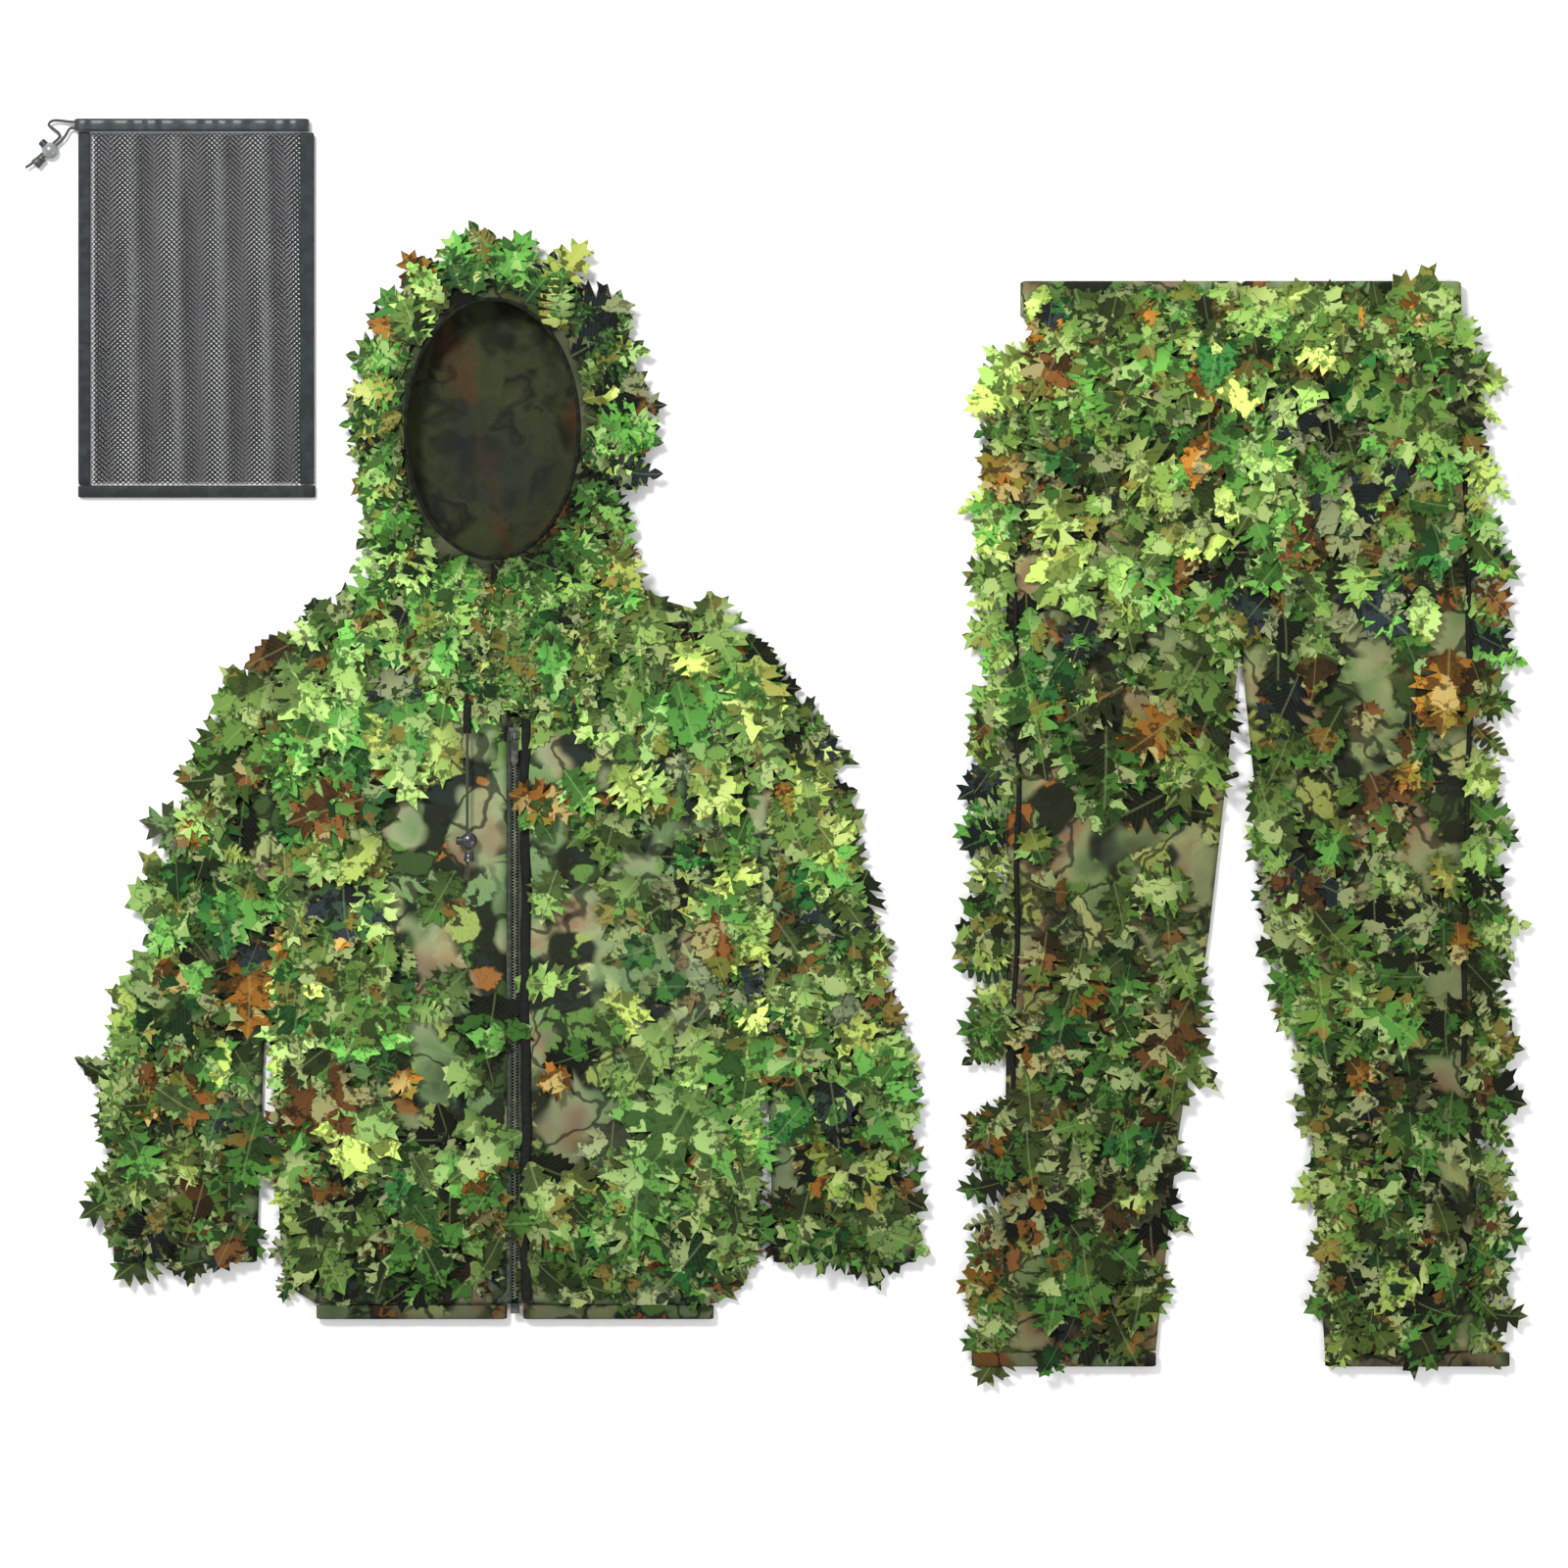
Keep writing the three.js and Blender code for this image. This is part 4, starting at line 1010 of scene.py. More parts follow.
@dataclass
class Panel:
    """A panel of cloth that lies between a left and a right edge at each y.

    Attributes:
        name: The piece's name.
        nodes: The CAD nodes that it stands for and takes its outline from.
        seam: Height at its seams.
        rise: How far it stands above them.
        trim: How far its left and right edges stay inside the outline.
        down: How much each side comes down to a seam: left, right, low, high.
        joined: The range of y in which its fold side doesn't come down, and that side.
        crease: Height of its creases.
        gather: The ends with gathers: "low", "high" or both.
    """

    name: str
    nodes: tuple[str, ...]
    seam: float
    rise: float
    trim: tuple[float, float] = (0.0, 0.0)
    down: tuple[float, float, float, float] = (1.0, 1.0, 0.6, 0.6)
    joined: tuple[float, float, int] | None = None
    crease: float = 0.0022
    gather: tuple[str, ...] = ()
    reach: float = 0.045
    step: float = 0.006
    seed: int = 1
    lean: float = 0.0
    widen: tuple[float, float, float, float] | None = None
    low: float = field(init=False)
    high: float = field(init=False)
    table: Array = field(init=False)

    def __post_init__(self) -> None:
        """Reads the outline into a table of y, left and right."""
        outline = Outline(*self.nodes)
        edge = 0.0004
        self.low, self.high = float(outline.low[1]) + edge, float(outline.high[1]) - edge
        ys = np.linspace(self.low, self.high, 160)
        sides = np.array([outline.across(float(y)) for y in ys])
        left, right = sides[:, 0] + self.trim[0], sides[:, 1] - self.trim[1]
        thin = right - left < 0.002
        middle = (left + right) / 2
        left[thin], right[thin] = middle[thin] - 0.001, middle[thin] + 0.001
        if self.widen:
            y0, y1, add_left, add_right = self.widen
            share = smooth((ys - y0) / 0.01) * smooth((y1 - ys) / 0.01)
            left, right = left - add_left * share, right + add_right * share
        self.table = np.stack([ys, left, right])

    def sides(self, y: Array) -> tuple[Array, Array]:
        """Left and right edges at each y."""
        ys, left, right = self.table
        return np.interp(y, ys, left), np.interp(y, ys, right)

    def height(self, x: Array, y: Array) -> Array:
        """Height of the cloth at each place; past an edge it is the seam's height."""
        left, right = self.sides(y)
        gaps = [x - left, right - x, y - self.low, self.high - y]
        lift = np.ones_like(x)
        for index, (gap, weight) in enumerate(zip(gaps, self.down)):
            if self.joined and index == self.joined[2]:
                y0, y1, _ = self.joined
                weight = weight * (1 - smooth((y - y0) / 0.04) * smooth((y1 - y) / 0.04))
            near = 1 - np.clip(gap / self.reach, 0, 1)
            lift = lift * (1 - weight * near * near)
        waves = self.crease * creases(x, y, self.seed, self.lean) * smooth(lift * 1.3)
        for end in self.gather:
            gap = y - self.low if end == "low" else self.high - y
            sway = np.sin(x * 70 + self.seed) * 2 + x * 2 * math.pi / 0.0125
            waves = waves + 0.0017 * np.sin(sway) * np.exp(-np.clip(gap, 0, 1) / 0.03)
        return self.seam + self.rise * lift + waves

    def build(self) -> bpy.types.Object:
        """Makes the sheet, not yet on a body, and says that it is one."""
        ys, left, right = self.table
        width = float((right - left).max())
        rows = max(4, math.ceil((self.high - self.low) / self.step))
        columns = max(4, math.ceil(width / self.step))
        y = np.linspace(self.low, self.high, rows)
        a, b = self.sides(y)
        share = np.linspace(0, 1, columns)
        x = a[:, None] + (b - a)[:, None] * share
        grid_y = np.broadcast_to(y[:, None], x.shape)
        z = self.height(x, grid_y)
        points = np.stack([x, grid_y, z], -1).reshape(-1, 3)
        obj = mesh_object(self.name, points, grid_faces(rows, columns), {"print": points[:, :2]})
        thicken(obj, CLOTH_THICK)
        area = float(np.trapz(b - a, y))
        flat = (width, self.high - self.low)
        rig.sheet(obj, flat=flat, held="laid", rests_on=["floor"], area=min(area, flat[0] * flat[1]))
        log.info("%s: flat %.3f x %.3f m, area %.3f m2", self.name, *flat, area)
        return obj


def band(
    name: str,
    ends: tuple[Sequence[float], Sequence[float]],
    width: float,
    heights: tuple[float, float],
    gather: float = 0.0,
    pitch: float = 0.008,
    sides: int = 20,
    step: float = 0.002,
) -> bpy.types.Object:
    """A flat casing or binding, rounded at its long edges and closed at its ends.

    Args:
        name: The piece's name.
        ends: The two ends of its middle line, in plan.
        width: Its width in plan.
        heights: Its lowest and highest z.
        gather: Depth of its gathers.
        pitch: Their pitch.
        sides: Corners round it.
        step: Length of its steps.

    Returns:
        The object.
    """
    start, end = np.array(ends[0], float), np.array(ends[1], float)
    length = float(np.linalg.norm(end - start))
    ahead = (end - start) / length
    side = np.array([-ahead[1], ahead[0]])
    rows = max(6, math.ceil(length / step))
    along = np.linspace(0, length, rows)
    turn = np.linspace(0, 2 * math.pi, sides, endpoint=False)
    sign = lambda value: np.sign(value) * np.abs(value) ** 0.5
    across, up = sign(np.cos(turn)), sign(np.sin(turn))
    low, high = heights
    taper = np.sqrt(np.clip(np.minimum(along, length - along) / 0.004, 0.0, 1.0)) * 0.55 + 0.45
    ripple = 1 - gather * (0.5 + 0.5 * np.sin(along / pitch * 2 * math.pi + 1.5 * np.sin(along * 90)))
    plan = (width / 2) * across[None, :] * (1 - 0.2 * (1 - taper))[:, None]
    z = (low + high) / 2 + (high - low) / 2 * up[None, :] * (taper * ripple)[:, None]
    xy = start + along[:, None, None] * ahead + plan[..., None] * side
    points = np.concatenate([xy, z[..., None]], -1).reshape(-1, 3)
    tips = np.array([[*start, (low + high) / 2], [*end, (low + high) / 2]])
    all_points = np.vstack([points, tips])
    obj = mesh_object(name, all_points, capped(rows, sides), {"print": all_points[:, :2]})
    outward(obj)
    return obj


def bind(
    name: str,
    finish: Finish,
    body: str,
    nodes: Sequence[str],
    heights: tuple[float, float | None],
    gather: float,
    pitch: float,
    upright: bool = False,
    sides: int = 20,
) -> None:
    """Lays a band over a CAD node and dresses it.

    Args:
        name: The piece's name.
        finish: Its finish.
        body: The body that it rides on.
        nodes: The nodes that it stands for; the first one gives its place.
        heights: Its lowest and highest z. Where the highest is None, it stands that far above the node's
            lowest z and ends at its highest.
        gather: Depth of its gathers.
        pitch: Their pitch.
        upright: Whether it runs along Y.
        sides: Corners round it.
    """
    low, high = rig.box(nodes[0])
    if upright:
        x = (low.x + high.x) / 2
        ends, width = ((x, low.y), (x, high.y)), high.x - low.x
    else:
        y = (low.y + high.y) / 2
        ends, width = ((low.x, y), (high.x, y)), high.y - low.y
    span = (low.z + heights[0], high.z) if heights[1] is None else heights
    dress(band(name, ends, width, span, gather, pitch, sides), finish, "band", body, *nodes)


# ------------------------------------------------------------------------------ leaves


class LeafKind(Enum):
    """Half outlines of the cut leaves: (across, along) from stalk to tip, for a leaf 1 long."""

    OAK = (
        (0.03, 0.0), (0.07, 0.06), (0.15, 0.10), (0.25, 0.09), (0.21, 0.17), (0.31, 0.21), (0.11, 0.26),
        (0.25, 0.32), (0.38, 0.29), (0.33, 0.37), (0.42, 0.43), (0.13, 0.45), (0.27, 0.53), (0.38, 0.54),
        (0.30, 0.62), (0.32, 0.69), (0.10, 0.67), (0.19, 0.77), (0.24, 0.86), (0.08, 0.84),
    )
    MAPLE = (
        (0.03, 0.0), (0.09, 0.06), (0.20, 0.07), (0.34, 0.04), (0.32, 0.16), (0.44, 0.20), (0.27, 0.28),
        (0.38, 0.36), (0.53, 0.38), (0.50, 0.48), (0.60, 0.58), (0.42, 0.57), (0.33, 0.63), (0.15, 0.52),
        (0.19, 0.64), (0.31, 0.69), (0.22, 0.75), (0.25, 0.84), (0.10, 0.85),
    )
    SPEAR = (
        (0.03, 0.0), (0.08, 0.05), (0.14, 0.12), (0.10, 0.15), (0.20, 0.22), (0.16, 0.26), (0.26, 0.34),
        (0.20, 0.38), (0.28, 0.47), (0.21, 0.51), (0.26, 0.60), (0.18, 0.63), (0.21, 0.72), (0.13, 0.75),
        (0.15, 0.83), (0.07, 0.86), (0.06, 0.93),
    )
    FERN = (
        (0.03, 0.0), (0.07, 0.04), (0.20, 0.07), (0.24, 0.14), (0.05, 0.17), (0.26, 0.22), (0.29, 0.30),
        (0.05, 0.31), (0.27, 0.38), (0.28, 0.46), (0.05, 0.46), (0.24, 0.54), (0.24, 0.61), (0.04, 0.60),
        (0.18, 0.69), (0.17, 0.75), (0.03, 0.74), (0.10, 0.83), (0.07, 0.90),
    )
    IVY = (
        (0.04, 0.0), (0.12, 0.05), (0.22, 0.04), (0.40, 0.14), (0.52, 0.36), (0.34, 0.42), (0.24, 0.50),
        (0.30, 0.66), (0.16, 0.76), (0.08, 0.90),
    )


class LeafShape:
    """A leaf's flat mesh: places across and along, and triangles between them."""

    _made: dict[LeafKind, "LeafShape"] = {}

    def __init__(self, kind: LeafKind) -> None:
        """Fills the outline, with points on the midrib so that the leaf can bend."""
        half = kind.value
        right = [Vector(p) for p in half]
        left = [Vector((-u * 0.94, min(v * 1.02, 0.97))) for u, v in half]
        ring = [*right, Vector((0.0, 1.0)), *reversed(left)]
        spine = [Vector((0.0, v)) for v in (0.18, 0.34, 0.5, 0.66, 0.82)]
        count = len(ring)
        edges = [(count + i, count + i + 1) for i in range(len(spine) - 1)]
        points, _, faces, *_ = geometry.delaunay_2d_cdt(ring + spine, edges, [list(range(count))], 1, 1e-5)
        self.points = np.array([tuple(p) for p in points])
        triangles = np.array(faces)
        a, b, c = (self.points[triangles[:, k]] for k in range(3))
        turn = (b - a)[:, 0] * (c - a)[:, 1] - (b - a)[:, 1] * (c - a)[:, 0]
        triangles[turn < 0] = triangles[turn < 0][:, ::-1]
        self.triangles = triangles[np.abs(turn) > 1e-7]

    @classmethod
    def of(cls, kind: LeafKind) -> "LeafShape":
        """The shape of a kind, made once."""
        if kind not in cls._made:
            cls._made[kind] = cls(kind)
        return cls._made[kind]


class Heap:
    """Leaves gathered into one piece."""

    def __init__(self, name: str) -> None:
        """Starts an empty heap."""
        self.name = name
        self.points: list[Array] = []
        self.faces: list[Array] = []
        self.leaf_map: list[Array] = []
        self.print_map: list[Array] = []
        self.tints: list[Array] = []
        self.count = 0

    def add(self, points: Array, shape: LeafShape, offset: Array, tint: Colour) -> None:
        """Adds one leaf.

        Args:
            points: Its places.
            shape: Its flat shape.
            offset: Where it lies on the printed cloth.
            tint: Its colour.
        """
        self.points.append(points)
        self.faces.append(shape.triangles + self.count)
        self.leaf_map.append(shape.points + [0.5, 0.0])
        self.print_map.append(points[:, :2] + offset)
        self.tints.append(np.tile(tint, (len(points), 1)))
        self.count += len(points)

    def build(self) -> bpy.types.Object:
        """Makes the piece."""
        maps = {"leaf": np.concatenate(self.leaf_map), "print": np.concatenate(self.print_map)}
        obj = mesh_object(self.name, np.concatenate(self.points), np.concatenate(self.faces), maps)
        tint = obj.data.attributes.new("tint", "FLOAT_COLOR", "POINT")
        tint.data.foreach_set("color", np.concatenate(self.tints).astype(np.float32).ravel())
        log.info("%s: %d leaves", self.name, len(self.points))
        return obj


Palette = tuple[tuple[float, Colour], ...]


def palette(*rows: tuple[float, float, float, float]) -> Palette:
    """Tints from rows of a weight and red, green and blue from 0 to 255."""
    return tuple((weight, srgb(*parts)) for weight, *parts in rows)


JACKET_TINTS = palette(
    (0.18, 92, 150, 66), (0.14, 116, 146, 78), (0.13, 96, 124, 58), (0.13, 136, 168, 88), (0.08, 74, 102, 44),
    (0.10, 168, 190, 92), (0.07, 42, 98, 44), (0.04, 54, 70, 32), (0.05, 150, 98, 34), (0.03, 104, 68, 34),
    (0.05, 34, 42, 44),
)
JACKET_UNDER = palette(
    (0.20, 54, 74, 34), (0.20, 30, 42, 20), (0.12, 78, 100, 50), (0.20, 14, 19, 10), (0.10, 100, 112, 82),
    (0.08, 34, 66, 34), (0.05, 88, 64, 34), (0.05, 130, 150, 78),
)
TROUSER_TINTS = palette(
    (0.20, 86, 140, 58), (0.14, 104, 132, 62), (0.13, 80, 102, 42), (0.13, 124, 158, 76), (0.08, 56, 76, 30),
    (0.10, 156, 182, 84), (0.06, 40, 90, 40), (0.04, 46, 54, 26), (0.05, 146, 98, 34), (0.03, 92, 62, 30),
    (0.04, 28, 36, 38),
)
TROUSER_UNDER = palette(
    (0.22, 46, 56, 26), (0.20, 26, 34, 16), (0.12, 70, 88, 40), (0.20, 12, 16, 9), (0.08, 88, 92, 62),
    (0.06, 34, 62, 30), (0.08, 84, 58, 30), (0.04, 120, 140, 68),
)
HOOD_TINTS = palette(
    (0.26, 88, 150, 62), (0.18, 112, 160, 76), (0.12, 64, 112, 48), (0.14, 140, 180, 88), (0.10, 40, 74, 36),
    (0.10, 26, 34, 34), (0.06, 176, 188, 90), (0.04, 150, 104, 44),
)


@dataclass(frozen=True)
class Layer:
    """How one layer of leaves is strewn.

    Attributes:
        pitch: Distance between leaves.
        length: Shortest and longest leaf.
        kinds: The kinds, each as likely as its number of mentions.
        palette: Their tints.
        gap: Height above the cloth.
        lift: How far a tip may stand up.
        spread: How far a heading strays, in radians.
        keep: The share of places that have a leaf.
    """

    pitch: float
    length: tuple[float, float]
    kinds: tuple[LeafKind, ...]
    palette: Palette
    gap: float
    lift: float
    spread: float = 0.7
    keep: float = 1.0


def garment_layers(
    tints: Palette, under: Palette, pitches: Sequence[float], lengths: Sequence[tuple[float, float]], keep: float
) -> list[Layer]:
    """A garment's layers of leaves, from the cloth up, and then the layer of its fringe.

    Args:
        tints: The upper leaves' tints.
        under: The lowest layer's tints.
        pitches: Each layer's pitch.
        lengths: Each layer's shortest and longest leaf.
        keep: The share of places that have a leaf in the second layer.

    Returns:
        Five layers.
    """
    oak, maple, spear, fern, ivy = LeafKind
    looks = (
        ((oak, spear, maple), under, 0.35 * MM, 0.7 * MM, 0.9, 1.0),
        ((oak, maple, spear), tints, 0.8 * MM, 1.2 * MM, 0.9, keep),
        ((oak, maple, spear, oak), tints, 2.6 * MM, 7.5 * MM, 0.6, 0.85),
        ((ivy, maple, fern), tints, 4.6 * MM, 5.5 * MM, 0.9, 0.5),
        ((oak, fern, maple, oak), tints, 1.6 * MM, 5.0 * MM, 0.3, 0.95),
    )
    return [Layer(pitch, length, *look) for pitch, length, look in zip(pitches, lengths, looks)]


class Strewer:
    """Strews leaves over cloth, sorting them into heaps by the body that they ride on.

    Attributes:
        ceiling: The highest that a leaf may reach.
        shade: What a leaf's tint is multiplied by at a place.
        clear: Places that no leaf may cross, or None.
    """

    def __init__(self, seed: int, heaps: dict[str | None, Heap], fold: Fold | None) -> None:
        """Keeps the heaps by body; None is the heap that crosses the fold."""
        self.rng = np.random.default_rng(seed)
        self.heaps = heaps
        self.fold = fold
        self.ceiling: Callable[[Array, Array], Array] | float = LEAF_CEILING
        self.shade: Callable[[float, float], float] = lambda x, y: 1.0
        self.clear: Callable[[Array, Array], Array] | None = None

    def leaf(
        self,
        at: tuple[float, float],
        heading: float,
        length: float,
        layer: Layer,
        height: Callable[[Array, Array], Array],
        home: str,
        kinds: tuple[LeafKind, ...] | None = None,
    ) -> None:
        """Lays one leaf.

        Args:
            at: Where its stalk is.
            heading: The way its tip points, in radians from +X.
            length: Its length.
            layer: The layer that it belongs to.
            height: Height of the cloth.
            home: The body that it rides on if it crosses no fold.
            kinds: Kinds to choose from instead of the layer's.
        """
        rng = self.rng
        choice = kinds or layer.kinds
        shape = LeafShape.of(choice[rng.integers(len(choice))])
        weights = np.array([w for w, _ in layer.palette])
        tint = np.array(layer.palette[rng.choice(len(weights), p=weights / weights.sum())][1])
        tint[:3] *= rng.uniform(0.55, 1.5) * self.shade(*at)
        wide = length * rng.uniform(0.85, 1.15)
        across, along = shape.points[:, 0] * wide, shape.points[:, 1] * length
        share = shape.points[:, 1]
        bend = rng.normal(0, 0.22)
        across = across + bend * length * (share**2) * 0.5
        ahead = np.array([math.cos(heading), math.sin(heading)])
        side = np.array([-ahead[1], ahead[0]])
        plan = np.array(at) + along[:, None] * ahead + across[:, None] * side
        hump = np.sin(np.clip(share, 0, 1) * math.pi)
        tip = rng.uniform(0, 1)
        profile = layer.lift * (tip * share**1.5 + (1 - tip) * hump * 0.7)
        dish = rng.uniform(-0.12, 0.32)
        profile = profile + dish * np.abs(across)
        ripple = 0.0007 * np.sin(across * rng.uniform(300, 500) + along * rng.uniform(150, 300))
        ground = height(plan[:, 0], plan[:, 1])
        z = ground + layer.gap + rng.uniform(0, 0.0016) + np.maximum(profile, -0.0004) + ripple
        top = self.ceiling(plan[:, 0], plan[:, 1]) if callable(self.ceiling) else self.ceiling
        z = np.minimum(z, top - rng.uniform(0, 0.0012) - 0.02 * np.abs(across))
        points = np.column_stack([plan, z])
        body = home
        if self.fold is not None:
            body = self.fold.body(points)
        self.heaps[body].add(points, shape, rng.uniform(0, 3, 2), tuple(tint))

    def cover(
        self,
        panel: Panel,
        layer: Layer,
        home: str,
        heading: Callable[[float, float], float],
        density: Callable[[float, float], float] | None = None,
        margin: float = 0.012,
        tips: tuple[float, float] = (-0.012, 0.02),
        ground: Callable[[Array, Array], Array] | None = None,
    ) -> None:
        """Covers a panel with one layer, from its low edge up, so that upper leaves overlap lower ones.

        Args:
            panel: The panel.
            layer: The layer.
            home: The body that its leaves ride on.
            heading: The heading at a place.
            density: The share of leaves kept at a place.
            margin: How far the leaves' middles stay inside the sides.
            tips: How far leaves may pass the low and the high edge.
            ground: Height of the cloth, where it isn't the panel's.
        """
        rng = self.rng
        rows = max(1, round((panel.high - panel.low) / (layer.pitch * 0.9)))
        for row in range(rows + 1):
            y_row = panel.low + (panel.high - panel.low) * row / rows
            left, right = (float(v) for v in panel.sides(np.array(y_row)))
            count = max(1, round((right - left) / layer.pitch))
            for column in range(count):
                if rng.uniform() > layer.keep:
                    continue
                x = left + (right - left) * (column + 0.5 + rng.uniform(-0.45, 0.45)) / count
                y = y_row + rng.uniform(-0.45, 0.45) * layer.pitch
                if x < left + margin or x > right - margin:
                    continue
                if density and rng.uniform() > density(x, y):
                    continue
                angle = heading(x, y) + rng.normal(0, layer.spread)
                length = rng.uniform(*layer.length)
                back = length * 0.35
                at = (x - back * math.cos(angle), y - back * math.sin(angle))
                tip = at[1] + length * math.sin(angle)
                if min(at[1], tip) < panel.low - tips[0] or max(at[1], tip) > panel.high + tips[1]:
                    continue
                if self.clear is not None:
                    line = np.linspace(0, length, 9)[:, None] * [math.cos(angle), math.sin(angle)] + at
                    if self.clear(line[:, 0], line[:, 1]).any():
                        continue
                self.leaf(at, angle, length, layer, ground or panel.height, home)

    def fringe(
        self,
        panel: Panel,
        layer: Layer,
        home: str,
        side: int,
        span: tuple[float, float],
        angle: float,
        inside: float = 0.03,
    ) -> None:
        """Lays leaves out past one side of a panel.

        Args:
            panel: The panel.
            layer: The layer that sets their sizes.
            home: The body that they ride on.
            side: -1 for the left edge, 1 for the right one.
            span: The range of y.
            angle: Their heading.
            inside: How far inside the edge they start.
        """
        rng = self.rng
        y = span[0]
        while y < span[1]:
            left, right = (float(v) for v in panel.sides(np.array(y)))
            edge = left if side < 0 else right
            length = rng.uniform(*layer.length)
            heading = angle + rng.normal(0, layer.spread)
            at = (edge - side * (inside + rng.uniform(-0.006, 0.008)), y)
            if rng.uniform() < layer.keep:
                self.leaf(at, heading, length, layer, panel.height, home)
            y += layer.pitch * rng.uniform(0.7, 1.3)


# ------------------------------------------------------------------------------ studio


class Studio:
    """The floor, the light and the camera."""

    def build(self) -> None:
        """Makes them all."""
        self._camera()
        self._floor()
        self._lights()

    @staticmethod
    def _camera() -> None:
        """A long lens that looks straight down."""
        data = bpy.data.cameras.new("camera")
        data.lens = LENS_MM
        data.sensor_width = SENSOR_MM
        data.clip_end = 50
        camera = bpy.data.objects.new("camera", data)
        camera.location = (*CAMERA_AT, FRAME_WIDTH * LENS_MM / SENSOR_MM)
        bpy.context.scene.collection.objects.link(camera)
        bpy.context.scene.camera = camera

    @staticmethod
    def _floor() -> None:
        """A pale floor just under the cloth."""
        half = 14.0
        points = np.array([[-half, -half, 0], [half, -half, 0], [half, half, 0], [-half, half, 0]])
        points[:, 2] = -0.0006
        floor = mesh_object("floor", points, np.array([[0, 1, 2, 3]]))
        graph = Graph("floor")
        inputs = {"Base Color": (0.86, 0.86, 0.86, 1.0), "Roughness": 0.9, "Specular IOR Level": 0.1}
        floor.data.materials.append(graph.surface(inputs))
        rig.stage(floor)

    @staticmethod
    def _lights() -> None:
        """A bright sky and one soft lamp from the upper left."""
        scene = bpy.context.scene
        world = bpy.data.worlds.new("sky")
        world.use_nodes = True
        background = world.node_tree.nodes["Background"]
        background.inputs["Color"].default_value = (1.0, 1.0, 1.0, 1.0)
        background.inputs["Strength"].default_value = 0.68
        scene.world = world
        scene.view_settings.view_transform = "Standard"
        for name, at, size, power in (
            ("key", (-1.5, 1.9, 3.2), 1.0, 150.0),
            ("fill", (2.2, -1.6, 3.6), 2.4, 60.0),
        ):
            data = bpy.data.lights.new(name, "AREA")
            data.shape = "DISK"
            data.size = size
            data.energy = power
            lamp = bpy.data.objects.new(name, data)
            lamp.location = at
            lamp.rotation_euler = (Vector(at)).to_track_quat("Z", "Y").to_euler()
            scene.collection.objects.link(lamp)


# ------------------------------------------------------------------------------ cords and fittings


